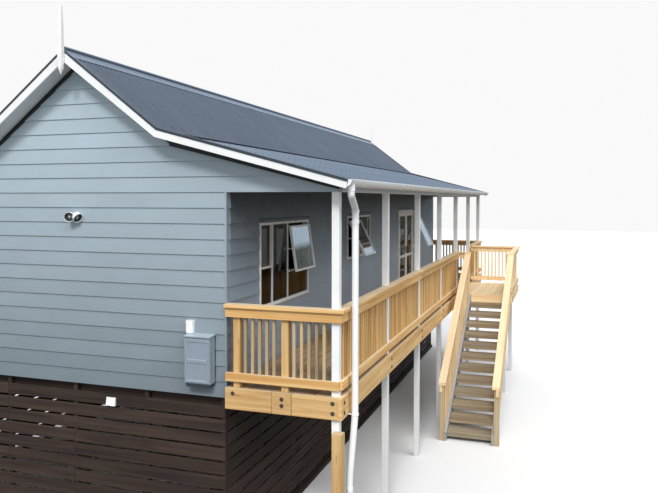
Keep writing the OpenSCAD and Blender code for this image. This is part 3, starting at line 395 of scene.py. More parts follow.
def soffit_finish():
    """Lining under the verandah roof darkened with painted shade, pale lining outside the gables."""
    m = Finish("soffit_paint", 0.5, spec=0.3, space="object")
    out = m.math("ABSOLUTE", m.math("SUBTRACT", m.place("Y"), HL / 2))
    # painted shade: the lining is dark where it lies under the verandah roof
    base = m.mix(m.range(out, HL / 2 - 0.05, HL / 2 - 0.04), colour(98, 101, 96), colour(224, 226, 227))
    base = m.mix(m.range(m.noise(5, 5.0, 0.7), 0.5, 0.8, 0, 0.3), base, colour(120, 122, 116))
    return m.done(base, m.noise((60, 6, 60), 3.0), 0.0005, m.range(m.noise(7), 0.3, 0.7, 0.42, 0.6))


# The gable's cladding is painted lighter towards the top and darker towards the bottom: painted light and shade.
CLAD = paint("cladding_paint", (151, 165, 174), 0.5, amount=0.18, bump=0.0006, wood=True,
             painted_light_by_height=(LOW, D + 3.6, 0.56, 1.5))
# The verandah's cladding is a copy of the gable's, painted darker towards the top: painted shade under the
# verandah roof.
CLAD_V = paint("verandah_cladding_paint", (158, 172, 185), 0.5, amount=0.18, bump=0.0006, wood=True,
               painted_light_by_height=(D + 0.9, D + 2.4, 0.93, 0.22))
WHITE = paint("white_trim_paint", (242, 243, 243), 0.42, (196, 192, 182), 0.3, 0.0006)
WHITE_M = paint("white_gutter_metal", (241, 243, 244), 0.32, (205, 203, 196), 0.25)
PLASTIC = paint("white_plastic_shell", (242, 243, 243), 0.3, (210, 208, 200))
SASH = paint("sash_powder_coat", (246, 247, 248), 0.36, (190, 192, 190), 0.15)
ALU = paint("joinery_powder_coat", (230, 230, 227), 0.38, (170, 170, 166))
# The meter box's steel is painted paler on its upward faces: a painted highlight on the hood.
BOX = paint("meter_box_steel", (140, 152, 164), 0.4, (112, 122, 132), 0.35, 0.0003, painted_top_light=(176, 188, 198))
# The ridge cap is paler than the roof sheets: a painted highlight along the ridge.
RIDGE_COAT = paint("ridge_metal_coat", (104, 115, 131), 0.3, (102, 110, 121), 0.3)
DARK_TRIM = paint("dark_trim_metal", (52, 60, 68), 0.4, (80, 86, 90))
# black for the beads under the soffits, which paint the shadow lines there
PAINTED_SHADOW_BLACK = paint("painted_shadow_bead", (28, 30, 32), 0.5, (48, 50, 50), 0.3, 0.0003)
RUBBER = paint("black_gasket", (26, 27, 28), 0.75, (45, 45, 44), 0.4)

PINE = timber("new_pine", (228, 190, 130), (204, 154, 92), (120, 76, 40), (0.82, 1.1), sheen_and_bleach=(222, 210, 188))
# A darker, greyed copy of the pine for the end balusters: partly grey weathering, partly painted shade behind the
# rails.
PINE_GREY_SHADED = timber("greyed_pine_with_painted_shade", (206, 178, 128), (166, 138, 96), (104, 78, 52), (0.62, 1.12),
                   grey=(172, 164, 150))
PINE_FRAME = timber("frame_pine", (218, 184, 130), (194, 150, 96), (112, 72, 40), sheen_and_bleach=(214, 196, 164))
# A lighter copy of the pine for the landing and the stair's balustrades: painted light.
PINE_LIT = timber("pine_with_painted_light", (250, 226, 182), (232, 194, 142), (132, 92, 56), (0.88, 1.08),
                   sheen_and_bleach=(232, 212, 178))
DECK = timber("deck_boards_timber", (182, 148, 110), (140, 108, 78), (84, 60, 42), grey=(158, 144, 126))
OLD = timber("weathered_stair_timber", (166, 148, 118), (126, 108, 82), (84, 66, 48), grey=(160, 148, 130))
STRING = timber("grey_string_timber", (184, 180, 176), (146, 140, 134), (96, 86, 78), grey=(166, 164, 166))
PILE = timber("pile_timber", (124, 104, 82), (92, 74, 56), (60, 46, 34), grey=(120, 112, 100))
BASE = timber("dark_stained_board", (66, 52, 44), (44, 34, 30), (24, 18, 16), (0.8, 1.15), 0.3)
FLOOR = timber("floor_timber", (120, 92, 64), (92, 66, 44), (60, 40, 28))

# The low roof's coat is a lighter copy of the steep roof's: painted light on the low roof.
ROOF_UPPER = roof_finish("steep_roof_coat", (71, 80, 93))
ROOF_LOWER = roof_finish("low_roof_coat", (85, 97, 114))
SOFFIT = soffit_finish()
GLASS = glass_finish("window_glass", (88, 90, 84), 0.1)
SASH_GLASS = glass_finish("sash_glass", (206, 214, 218), 0.8, 1.9, 0.45)
BOLT = metal_finish("weathered_bolts", (92, 84, 76), 0.6, 0.6)
HANDLE = metal_finish("black_handle_metal", (38, 38, 39), 0.4, 0.3)
LENS = metal_finish("lamp_lens", (104, 107, 110), 0.2, 0.2)


# ---- weatherboards
def boards(shape, low, top, left, right, place, windows=(), breaks=()):
    """Lapped boards in a wall.

    left and right give the wall's sides at a height, place maps (along, height, depth) to space,
    and breaks are heights at which a side changes direction.
    """
    holes = sorted((y, y + w, D + sill, D + OPEN_H) for y, w, sill in windows)
    for k in range(floor((low - HEAD) / LAP), ceil((top - HEAD) / LAP)):
        foot = HEAD + k * LAP
        a0, b0 = max(foot, low), min(foot + LAP, top)
        if b0 - a0 < 0.002:
            continue
        levels = list(breaks) + [h[i] for h in holes for i in (2, 3)]
        cuts = sorted({a0, b0} | {z for z in levels if a0 < z < b0})
        shape.new_part(Vector(place(1, 0, 0)) - Vector(place(0, 0, 0)))
        for a, b in zip(cuts, cuts[1:]):
            spans = [(left, right)]
            for u0, u1, z0, z1 in holes:
                if z0 < (a + b) / 2 < z1:
                    l, r = spans.pop()
                    spans += [(l, lambda z, v=u0: v), (lambda z, v=u1: v, r)]
            fronts = LAP_D * (a - foot) / LAP, LAP_D * (b - foot) / LAP
            for l, r in spans:
                corners = [(l, a + 1e-6, a, 0), (r, a + 1e-6, a, 0), (r, b - 1e-6, b, 1), (l, b - 1e-6, b, 1)]
                shape.loft([place(side(at), z, fronts[i]) for side, at, z, i in corners],
                           [place(side(at), z, WT) for side, at, z, _ in corners])
    return shape


def lap_depth(z):
    return LAP_D * ((z - HEAD) / LAP % 1.0)


def roof_x(z):
    """Distance from the ridge line at which the roof's underside is at height z."""
    h = z + 0.0002 - D
    if h > KNEE - ROOF_D:
        return max(0, (RIDGE - ROOF_D - h) / STEEP)
    return min(EAVE_X, EAVE_X - (h - EAVE + LOW_ROOF_D) / FALL)


def gable_right(z):
    return WX - lap_depth(z) if z < HEAD else min(POST_O, roof_x(z))


def gable_left(z):
    return -min(LX - lap_depth(z), roof_x(z))


def upright(v):
    return lambda z: v


def on_verandah(u, z, d):
    return (WX - d, u, z)


for end, name in enumerate(("front_wall", "rear_wall")):
    inward = from_gable(end)
    boards(Shape(), LOW, D + RIDGE - 0.096, gable_left, gable_right, lambda u, z, d: (u, inward(d), z),
           breaks=[under(POST_O), D + KNEE - ROOF_D, under(LX), HEAD]).make(
        name + "_boards", CLAD, "cladding", [name])
boards(Shape(), LOW, under(LX) - GRAZE, upright(WT), upright(HL - WT), lambda u, z, d: (-LX + d, u, z),
       LEFT_WINDOWS).make("left_wall_boards", CLAD, "cladding", ["left_wall"])
for part, y0, y1, windows in (("front", WT, DOOR_1, WINDOWS[:2]), ("rear", DOOR_2, HL - WT, WINDOWS[2:])):
    boards(Shape(), LOW, under(WX) - GRAZE, upright(y0), upright(y1), on_verandah, windows).make(
        "verandah_boards_" + part, CLAD_V, "verandah_cladding", ["verandah_wall_" + part])
door_wall = Shape()
for z0, z1 in ((LOW, D), (D + DOOR_H, under(WX) - GRAZE)):
    boards(door_wall, z0, z1, upright(DOOR_1), upright(DOOR_2), on_verandah)
door_wall.make("verandah_boards_door", CLAD_V, "verandah_cladding", ["verandah_wall_door"])

corners = Shape()
for side, x, z1 in ((-1, LX, under(LX) - 0.004), (1, WX, HEAD)):
    for end in (0, 1):
        y = from_gable(end)
        corners.prism([(side * (x + dx), y(dy)) for dx, dy in (
            (0.002, -0.002), (-0.022, -0.002), (-0.022, 0.018), (-0.018, 0.022), (0.002, 0.022))], "z", LOW, z1)
corners.make("corner_soakers", CLAD, "cladding", bevel=0.0015)

# ---- roof
PITCH, RIB, SHEET_T, SHEET_RIBS = 0.0762, 0.016, 0.003, 10
Y0, Y1 = -OVER, HL + OVER


def corrugated(shape, p0, p1):
    """Sheets whose ribs run from p0 down to p1, given as (x, z), side by side along the roof."""
    p0, p1 = Vector((p0[0], 0, p0[1])), Vector((p1[0], 0, p1[1]))
    u = (p1 - p0).normalized()
    n = Vector((-u.z, 0, u.x))
    if n.z < 0:
        n = -n
    cols = int(round((Y1 - Y0) / PITCH * 8))
    first = len(shape.verts)
    for j in range(cols + 1):
        y = Y0 + (Y1 - Y0) * j / cols
        h = -RIB / 2 * (1 - cos(2 * pi * (y - Y0) / PITCH))
        sheet = int((y - Y0) / (PITCH * SHEET_RIBS))
        for run, p in ((0, p0), ((p1 - p0).length, p1)):
            for t in (0, SHEET_T):
                shape.verts.append(p + n * (h - t) + AX["y"] * y)
                shape.grain.append((run, y, t))
                shape.tones.append(((sheet * 7919) % 101) / 100)
    for j in range(cols):
        a, b = first + 4 * j, first + 4 * (j + 1)
        shape.faces += [(a, b, b + 2, a + 2), (a + 1, a + 3, b + 3, b + 1), (a, a + 1, b + 1, b),
                        (a + 2, b + 2, b + 3, a + 3)]
    last = first + 4 * cols
    shape.faces += [(first, first + 2, first + 3, first + 1), (last, last + 1, last + 3, last + 2)]


SCREW = ((-0.001, 0.009), (0.0015, 0.009), (0.0016, 0.0055), (0.006, 0.005))    # heights and radii
STEEP_GAP, LOW_GAP = 0.026, 0.022    # from the roof's top down to the frame under its sheets
SLOPES = (((0, D + RIDGE), (KNEE_X, D + KNEE), (0.24, 0.62, 0.95)),    # its ends and its rows of screws
          ((KNEE_X, low_top(KNEE_X)), (EAVE_X, low_top(EAVE_X)), (0.06, 0.36, 0.66, 0.95)))
sheet_top, sheet_low, core_top, core_low, screws = Shape(), Shape(), Shape(), Shape(), Shape()
for s in (-1, 1):
    corrugated(sheet_top, (s * 0.004, D + RIDGE - 0.004 * STEEP),
               (s * (KNEE_X + 0.025), D + KNEE - 0.025 * STEEP))
    corrugated(sheet_low, (s * (KNEE_X - 0.03), low_top(KNEE_X - 0.03)), (s * EAVE_X, low_top(EAVE_X)))
    core_top.prism([(0, D + RIDGE - STEEP_GAP), (s * KNEE_X, D + KNEE - STEEP_GAP),
                    (s * KNEE_X, D + KNEE - ROOF_D), (0, D + RIDGE - ROOF_D)], "y", Y0, Y1)
    core_low.prism([(s * KNEE_X, low_top(KNEE_X) - LOW_GAP), (s * FASCIA, low_top(FASCIA) - LOW_GAP),
                    (s * FASCIA, under(FASCIA)), (s * KNEE_X, under(KNEE_X))], "y", Y0, Y1)
    for a, b, places in SLOPES:
        d = Vector((b[0] - a[0], 0, b[1] - a[1])).normalized()
        n = Vector((-d.z, 0, d.x))
        for r in places:
            p = Vector((a[0] + (b[0] - a[0]) * r, 0, a[1] + (b[1] - a[1]) * r))
            for rib in range(3, 188, 3):
                q = p + AX["y"] * (Y0 + PITCH * rib)
                loops = [[q + n * h + d * (w * c) + AX["y"] * (w * e) for c, e in circle(6)] for h, w in SCREW]
                screws.new_part("y")
                screws.loft(*[[(s * v.x, v.y, v.z) for v in loop] for loop in loops])
sheet_top.make("roof_sheet_upper", ROOF_UPPER, "roof_metal", ["roof_main"], smooth=40)
sheet_low.make("roof_sheet_lower", ROOF_LOWER, "roof_metal", ["roof_low"], smooth=40)
# The frames under the sheets take the dark stained finish: painted shade in the joint at the change of slope.
core_top.make("roof_frame_upper", BASE, "roof_metal")
core_low.make("roof_frame_lower", BASE, "roof_metal")
screws.make("roof_screws", DARK_TRIM, "roof_metal")

dress("ridge_cap", RIDGE_COAT)
dress("barge_boards verandah_beam finials", WHITE, 0.003)
dress("posts", WHITE, 0.004, 2)
dress("barge_flashings", DARK_TRIM)
dress("linings", SOFFIT)
LINING = 0.0102    # the lining's thickness and a little play
# Black beads under the gables' soffits: painted shadow lines where the soffits meet the walls.
shadow_beads = Shape()
for y0, y1 in ((-0.012, 0.016), (HL - 0.016, HL + 0.012)):
    for s, last in ((1, POST_O), (-1, LX)):
        for a, b in ((0, KNEE_X), (KNEE_X, last)):
            ha, hb = under(a + 1e-6) - LINING, under(b - 1e-6) - LINING
            deep = 0.06 if a == 0 or s < 0 else 0.085
            shadow_beads.prism([(s * a, ha), (s * b, hb), (s * b, hb - deep), (s * a, ha - deep)], "y", y0, y1,
                        (s * (b - a), 0, hb - ha))
shadow_beads.make("gable_soffit_beads", PAINTED_SHADOW_BLACK, "dark_metal", bevel=0.002)


# ---- gutters and pipe
def quarter(r, first, last):
    """Points of the gutter's quarter round at radius r, between two angles from its lowest point."""
    turn = [radians(first + (last - first) * i / 12) for i in range(13)]
    return [(FASCIA + 0.017 + r * sin(t), BEAD - r * cos(t)) for t in turn]


GUTTER_T, END_T, BACK_TOP, STOP_X, STOP_TOP = 0.0025, 0.003, D + 2.423, 3.704, D + 2.405
LIP_X, LIP_R = FASCIA + 0.099, 0.006    # the roll along the front edge
trough = [(FASCIA, BACK_TOP), (FASCIA, GUTTER)] + quarter(GUTTER_R, 0, 84)
for i in range(11):
    t = radians(-30 + 24 * i)
    trough.append((LIP_X + LIP_R * cos(t), BEAD - LIP_R + LIP_R * sin(t)))
trough += quarter(0.0855, 82, 0) + [(FASCIA + GUTTER_T, GUTTER + GUTTER_T), (FASCIA + GUTTER_T, BACK_TOP)]
stop = [(FASCIA, STOP_TOP), (FASCIA, GUTTER)] + quarter(GUTTER_R, 0, 88)
stop += [(STOP_X, BEAD - 0.004), (STOP_X, STOP_TOP)]
joint = quarter(0.0886, 0, 80) + quarter(GUTTER_R, 80, 0)
gutters = Shape()
for s in (-1, 1):
    for outline, y0, y1 in ((trough, Y0, Y1), (stop, Y0, Y0 + END_T), (stop, Y1 - END_T, Y1),
                            (joint, 4.3, 4.34), (joint, 9.6, 9.64)):
        gutters.prism([(s * x, z) for x, z in outline], "y", y0, y1)
    a, b = sorted((s * FASCIA, s * 3.752))
    for k in range(12):
        y = 0.5 + k * 1.2
        gutters.box((a, y, BEAD - 0.005), (b, y + 0.018, BEAD - 0.003))
gutters.make("gutters_with_straps", WHITE_M, "white_metal", ["gutters"], smooth=35)


def rounded(path, radius):
    """The path with its corners rounded."""
    path = [Vector(p) for p in path]
    out = [path[0]]
    for a, b, c in zip(path, path[1:], path[2:]):
        u, v = (a - b).normalized(), (c - b).normalized()
        r = min(radius, (a - b).length * 0.45, (c - b).length * 0.45)
        for i in range(8):
            t = i / 7
            out.append((b + u * r) * (1 - t) ** 2 + b * 2 * t * (1 - t) + (b + v * r) * t ** 2)
    return out + [path[-1]]


PIPE_R, PIPE_Y = 0.041, 0.225
OUT_X, OUT_Y = FASCIA + 0.0525, -0.15    # the gutter's outlet
SIDE_X, LEG_X = CAP_OUT + PIPE_R + 0.004, POST_O + 0.06    # the pipe beside the balustrade and below the deck
SOCKET = ((0, 0), (0.004, 0.003), (0.046, 0.003), (0.05, 0))    # height, and radius beyond the pipe's
line = rounded([(OUT_X, OUT_Y, GUTTER - 0.006), (OUT_X, OUT_Y, GUTTER - 0.088), (SIDE_X, PIPE_Y, GUTTER - 0.248),
                (SIDE_X, PIPE_Y, D - BEAM_D), (LEG_X, PIPE_Y, D - 1.015), (LEG_X, PIPE_Y, 0.06)], 0.085)
pipe = Shape()
pipe.rings(line, [PIPE_R - 0.0015] * len(line), 24)
for x, z in ((SIDE_X, GUTTER - 0.3), (SIDE_X, GUTTER - 0.42), (LEG_X, D - 1.15), (LEG_X, 0.3)):
    p = Vector((x, PIPE_Y, z))
    pipe.rings([p + AX["z"] * h for h, _ in SOCKET], [PIPE_R + r for _, r in SOCKET], 24)


def outlet(r, depth=None):
    """A ring of the outlet, at a depth below the gutter's lowest line or else on its round."""
    ring = [Vector((OUT_X, OUT_Y, 0)) + Vector((c, s, 0)) * r for c, s in circle(24)]
    if depth is not None:
        return [p + AX["z"] * (GUTTER - depth) for p in ring]
    across = [max(0, p.x - FASCIA - 0.017) for p in ring]
    return [(p.x, p.y, BEAD - sqrt(max(0, GUTTER_R ** 2 - a ** 2)) - 0.0005) for p, a in zip(ring, across)]


pipe.new_part("z")
pipe.loft(outlet(0.0409), outlet(0.0409, 0.008), outlet(0.0435, 0.012), outlet(0.0435, 0.045),
          outlet(0.04, 0.049))
pipe.make("downpipe_with_sockets", WHITE_M, "white_metal", ["downpipe"], smooth=35)
clips = Shape()
for x, z, wall in ((SIDE_X, D - 0.2575, BEAM_O), (LEG_X, D - 1.25, POST_O), (LEG_X, 0.3, POST_O)):
    clips.rings([(x, PIPE_Y, z), (x, PIPE_Y, z + 0.022)], [PIPE_R + 0.003] * 2, 24)
    if wall == BEAM_O:
        clips.box((wall, 0.218, z + 0.004), (x - PIPE_R + 0.002, 0.232, z + 0.018))
    else:
        clips.box((wall, 0.02, z + 0.002), (wall + 0.004, 0.215, z + 0.02))
        clips.box((wall, 0.205, z + 0.002), (x - PIPE_R + 0.004, 0.215, z + 0.02))
clips.make("pipe_clips", WHITE_M, "white_metal", smooth=35)


# ---- balustrades
def spread(a, b):
    """Places of the balusters between a and b."""
    n = round((b - a) / BAL_STEP)
    return [a + i * (b - a) / n for i in range(1, n)]


def jig(v=0.0012):
    return rng.uniform(-v, v)


ends, thin = Shape(), Shape()
for end in (0, 1):
    inward = from_gable(end)

    def put(x0, x1, t0, t1, z0, z1, tone=None, shape=ends):
        y0, y1 = sorted((inward(t0), inward(t1)))
        shape.box((x0, y0, z0), (x1, y1, z1), None, tone)

    put(WX, POST_O + 0.012, -0.04, FACE, *LOW_RAIL)
    put(WX, POST_O + RAIL_T, -0.04, FACE, *HIGH_RAIL, 0.8)
    for x in (WX + 0.13, WX + 0.752):
        put(x - POST / 2, x + POST / 2, FACE, FACE + POST, D, TOP, 0.05)
        for i in range(5):
            at = x + 0.113 + i * BAL_STEP + jig()
            put(at - BAL / 2, at + BAL / 2, FACE, FACE + BAL, BAL_LOW, TOP, rng.random(), thin)
    put(WX, CAP_OUT, CORNER_Y - CAP_W, CORNER_Y, TOP, RAIL, 0.8)
ends.make("end_balustrades", PINE, "new_pine", ["balustrade_ends"], bevel=0.003)
thin.make("end_balusters", PINE_GREY_SHADED, "new_pine", bevel=0.003)

for name, y1, bays, rail_y, cap_y in (("near", POST_Y + POST / 2, 4, (0.006, LAND_F), (CORNER_Y, LAND_F)),
                                      ("far", LAND_B, 1, (LAND_B, HL - 0.006), (LAND_B, HL - CORNER_Y))):
    rail = Shape()
    cuts = [POST_Y + k * BAY for k in range(2, bays, 2)]
    for i in range(len(cuts) + 1):
        for x0, x1, (a, b), (z0, z1) in ((POST_O + 0.0003, POST_O + RAIL_T, rail_y, LOW_RAIL),
                                         (POST_O + 0.0003, POST_O + RAIL_T, rail_y, HIGH_RAIL),
                                         (POST_O - 0.06, CAP_OUT, cap_y, (TOP, RAIL))):
            rail.box((x0, cuts[i - 1] if i else a, z0), (x1, cuts[i] - 0.0015 if i < len(cuts) else b, z1))
    for k in range(bays):
        for y in spread(y1 + k * BAY, y1 + (k + 1) * BAY - POST):
            y += jig()
            rail.box((POST_O - BAL, y - BAL / 2, BAL_LOW), (POST_O, y + BAL / 2, TOP))
    rail.make("balustrade_" + name + "_rails", PINE, "new_pine", ["balustrade_" + name], bevel=0.003)

land = Shape()
IN_X, IN_Y, NEAR_X = LAND_X - RAIL_T, LAND_B - RAIL_T, STAIR_X - STAIR_W / 2
CAP_IN = CAP_W - CAP_OVER
for z0, z1 in (LOW_RAIL, HIGH_RAIL):
    land.box((BEAM_O, IN_Y, z0), (LAND_X, LAND_B, z1))
    land.box((IN_X, LAND_F, z0), (LAND_X, IN_Y, z1))
    land.box((BEAM_O, LAND_F, z0), (NEAR_X - POST, LAND_F + RAIL_T, z1))
for x in spread(BEAM_O, IN_X - POST):
    land.box((x - BAL / 2, IN_Y - BAL, LOW_RAIL[0]), (x + BAL / 2, IN_Y, TOP))
for y in spread(LAND_F + POST, IN_Y - POST):
    land.box((IN_X - BAL, y - BAL / 2, LOW_RAIL[0]), (IN_X, y + BAL / 2, TOP))
for x, y in ((IN_X, LAND_F), (IN_X, IN_Y - POST), (NEAR_X, LAND_F)):
    land.box((x - POST, y, D), (x, y + POST, TOP))
land.box((CAP_OUT, LAND_B - CAP_IN, TOP), (LAND_X + CAP_OVER, LAND_B + CAP_OVER, RAIL))
land.box((LAND_X - CAP_IN, LAND_F - CAP_OVER, TOP), (LAND_X + CAP_OVER, LAND_B - CAP_IN, RAIL))
land.box((CAP_OUT, LAND_F - CAP_OVER, TOP), (NEAR_X + 0.035, LAND_F + CAP_IN, RAIL))
land.make("landing_balustrade", PINE_LIT, "new_pine", ["landing_rails"], bevel=0.003)


# ---- decks
def rows(a, b, n, gap):
    """Both edges of each of n boards between a and b, with a gap on either side."""
    w = (b - a) / n
    return [(a + i * w + gap, a + (i + 1) * w - gap) for i in range(n)]


GAP = 0.0015    # half the gap at a deck board's end
deck = Shape()
for x0, x1 in rows(WX, POST_O, 10, 0.0025):
    y, joint = FACE, POST_Y + BAY / 8 + rng.randrange(4, 10) * BAY / 4
    while y < HL - FACE:
        y2 = HL - FACE if HL - joint < 0.4 else joint
        deck.box((x0, y, D - BOARD_T), (x1, y2 - GAP, D), "y")
        y, joint = y2 + GAP, joint + rng.randrange(6, 9) * BAY / 4
deck.make("verandah_deck_boards", DECK, "deck_timber", ["deck_boards"], bevel=0.0025)

joists = Shape()
joists.box((WX, FACE, D - JOIST_D), (WX + JOIST, HL - FACE, D - BOARD_T))
for i in range(BAYS * 4):
    y = POST_Y + (i + 0.5) * BAY / 4
    joists.box((WX + JOIST, y - JOIST / 2, D - JOIST_D), (POST_O, y + JOIST / 2, D - BOARD_T))
joists.make("verandah_deck_joists", PINE_FRAME, "frame_timber", ["deck_joists"], bevel=0.002)

beams = Shape()
for y0, y1 in ((FRONT_O, FACE), (HL - FACE, BACK_O)):
    for x0, x1 in ((WX, 2.702), (2.705, 2.947), (2.953, POST_O)):
        beams.box((x0, y0, D - BEAM_D), (x1, y1, D), "x")
for y0, y1 in ((FRONT_O, 4.65), (4.65, 9.25), (9.25, BACK_O)):
    # The long edge beams take tone 1.3, lighter than the end beams: partly paler weathering, partly painted light
    # on their outer side.
    beams.box((POST_O, y0, D - BEAM_D), (BEAM_O, y1 - 0.002, D), "y", 1.3)
beams.make("deck_edge_beams", PINE_FRAME, "frame_timber", ["deck_beams"], bevel=0.003)

bolts = Shape()


def bolt(p, d):
    """Washer and hexagon head on a face, p its centre and d the face's outward direction."""
    p = Vector(p)
    bolts.rings([p, p + d * 0.003], [0.0255] * 2)
    bolts.rings([p + d * 0.003, p + d * 0.01], [0.01445, 0.0136], 6)


for x, z in ((2.203, -0.063), (2.831, -0.077), (2.831, -0.152), (3.454, -0.068), (3.454, -0.182)):
    bolt((x, FRONT_O, D + z), -AX["y"])
    bolt((x, BACK_O, D + z), AX["y"])
for i in range(BAYS + 1):
    y = POST_Y + i * BAY
    if not LAND_F - 0.1 < y < LAND_B + 0.1:
        for dz in (-0.07, -0.185):
            bolt((BEAM_O, y, D + dz), AX["x"])
for y in (LAND_F + 0.095, LAND_B - 0.095):
    for dz in (-0.055, -0.14):
        bolt((LAND_X, y, D + dz), AX["x"])
bolts.make("beam_bolts", BOLT, "frame_timber", smooth=35)

pad = Shape()
x1, y0, y1 = LAND_X - LAND_T, LAND_F + LAND_T, LAND_B - LAND_T
for a, b in rows(BEAM_O, x1, 9, 0.002):
    pad.box((a, y0, D - BOARD_T), (b, y1, D), "y")
pad.box((BEAM_O, LAND_F, D - LAND_D), (LAND_X, y0, D))
pad.box((BEAM_O, y1, D - LAND_D), (LAND_X, LAND_B, D))
pad.box((x1, y0, D - LAND_D), (LAND_X, y1, D))
for i in range(1, 4):
    y = LAND_F + i * (LAND_B - LAND_F) / 4
    pad.box((BEAM_O, y - JOIST / 2, D - LAND_D), (x1, y + JOIST / 2, D - BOARD_T))
pad.make("landing_platform", PINE_LIT, "new_pine", ["landing_deck"], bevel=0.003)


# ---- stair
def across(s, a, b):
    """Faces, in rising order, of a body from a to b beyond the stair's side s."""
    return sorted(STAIR_X + s * (STAIR_W / 2 + d) for d in (a, b))


def band(y1, y2, low, high):
    """An outline between two heights over the noses, cut off at the ground."""
    return [(y, max(0, nose(y) + h)) for y, h in ((y1, low), (y2, low), (y2, high), (y1, high))]


RAKE = (0, GOING, RISE)
UP, DOWN = 0.025, 0.305    # the strings' edges above and below the noses
CAP_UP, CAP_T, RAIL_D = 0.98, 0.056, 0.13    # the cap's top above the noses, depths of the cap and the rail
CAP_LOW = CAP_UP - CAP_T
string = Shape()
outline = [(LAND_F, D), (LAND_F, D - DOWN), (LAND_F - (D - DOWN) * GOING / RISE, 0), (FOOT, 0),
           (FOOT, nose(FOOT) + UP), (LAND_F - UP * GOING / RISE, D)]
for s in (-1, 1):
    string.prism(outline, "x", *across(s, -STRING_T, 0), RAKE)
string.make("stair_strings", STRING, "old_timber", ["stair_stringers"], bevel=0.003)

treads = Shape()
x0, x1 = STAIR_X - STAIR_W / 2 + STRING_T, STAIR_X + STAIR_W / 2 - STRING_T
for i in range(1, RISERS):
    y, z = LAND_F - i * GOING, D - i * RISE
    for a, b in ((0, 0.196), (0.204, 0.4)):
        treads.box((x0, y + a, z - TREAD_T), (x1, min(y + b, LAND_F), z))
    treads.box((x0, y + 0.008, z - 0.105), (x1, y + 0.03, z - TREAD_T))
treads.make("stair_tread_boards", OLD, "old_timber", ["stair_treads"], bevel=0.004)

rails = Shape()
for s in (-1, 1):
    rails.prism(band(FOOT - CAP_OVER, LAND_F - CAP_OVER, CAP_LOW, CAP_UP), "x", *across(s, -0.035, 0.105), RAKE)
    rails.prism(band(FOOT - CAP_OVER, LAND_F, CAP_LOW - RAIL_D, CAP_LOW), "x", *across(s, BAL, BAL + RAIL_T), RAKE)
    # The newel posts take tone -1.5, darker than any other part: painted shade under the rails' ends.
    rails.prism(band(FOOT, FOOT + POST, -D, CAP_LOW), "x", *across(s, 0, POST), "z", -1.5)
    for y in spread(FOOT + POST, LAND_F):
        rails.prism(band(y - BAL / 2, y + BAL / 2, -0.267, CAP_LOW), "x", *across(s, 0, BAL), "z")
rails.make("stair_balustrades", PINE_LIT, "new_pine", ["stair_rails"], bevel=0.003)

# ---- below the floor
BASE_F, BASE_B = 0.04, 0.062    # front and back of the baseboards behind the cladding
BATTEN = 0.06
PLATE_B = BASE_B + BATTEN    # back of the battens and the ground plates
END = PLATE_B + 0.001
RUNS = {"end": [((-LX + BASE_F, y), (WX - BASE_F, y), "x", (0, v)) for y, v in ((0, 1), (HL, -1))],
        "side": [((x, END), (x, HL - END), "y", (v, 0)) for x, v in ((WX, -1), (-LX, 1))]}
for name, runs in RUNS.items():
    base = Shape()
    for a, b, along, inward in runs:
        a, b, v, u = Vector(a), Vector(b), Vector(inward), AX[along].xy
        length = (b - a).length

        def slab(s0, s1, d0, d1, z0, z1, grain):
            p, q = a + u * s0 + v * d0, a + u * s1 + v * d1
            lo, hi = zip(*map(sorted, zip(p, q)))
            base.box((*lo, z0), (*hi, z1), grain)

        spans = ceil(length / 1.3)
        step = (length - BATTEN) / spans
        for i in range(11):
            z = BASE_TOP - i * 0.175
            cut = 0
            while cut < length - 0.01:
                end = BATTEN / 2 + step * (round(cut / step) + rng.randrange(2, 4))
                if length - end < step:
                    end = length
                slab(cut + 0.001, end - 0.001, BASE_F, BASE_B, z - 0.15 + jig(0.002), z + jig(0.002), along)
                cut = end
        for i in range(spans + 1):
            slab(i * step, i * step + BATTEN, BASE_B, PLATE_B, 0, LOW, "z")
        slab(0, length, -0.01, PLATE_B, 0, 0.06, along)
    base.make("baseboard_" + name + "_boards", BASE, "dark_board", ["baseboards_" + name + "s"], bevel=0.003)

IN_X0, IN_X1, IN_Y0, IN_Y1 = -LX + WT, WX - WT, WT, HL - WT    # inner faces of the walls
RIM, BEARER, FLOOR_LOW, FLOOR_T = 0.05, 0.06, D - 0.12, 0.02
BEARER_LOW = FLOOR_LOW - 0.15
piles, rims = Shape(), Shape()
for y in (IN_Y0, IN_Y1 - RIM):
    rims.box((IN_X0, y, FLOOR_LOW - 0.18), (IN_X1, y + RIM, FLOOR_LOW), "x")
for x in (IN_X0, IN_X1 - RIM):
    rims.box((x, IN_Y0 + RIM, FLOOR_LOW - 0.18), (x + RIM, IN_Y1 - RIM, FLOOR_LOW), "y")
# The rims take the dark stained finish: painted shade in the gap under the cladding.
rims.make("floor_rims", BASE, "pile_timber")
for x in (-LX + 0.6, (WX - LX) / 2, WX - 0.6):
    for x0 in (x - BEARER, x):
        piles.box((x0, IN_Y0 + RIM, BEARER_LOW), (x0 + BEARER, IN_Y1 - RIM, FLOOR_LOW), "y")
    for i in range(6):
        y = 0.9 + i * (HL - 1.8) / 5
        piles.rings([(x, y, 0), (x, y, BEARER_LOW - 0.004), (x, y, BEARER_LOW)], [0.1, 0.1, 0.096], 28)
piles.make("piles_and_bearers", PILE, "pile_timber", ["piles"], bevel=0.003)
stump = Shape()
stump.box((POST_O - 0.05, FACE - 0.12, 0), (POST_O + 0.07, FACE, D - 0.39), "z")
stump.make("corner_stump", PINE_FRAME, "pile_timber", bevel=0.004)
inside = Shape()
inside.box((IN_X0, IN_Y0, FLOOR_LOW), (IN_X1, IN_Y1, D - FLOOR_T), "y")
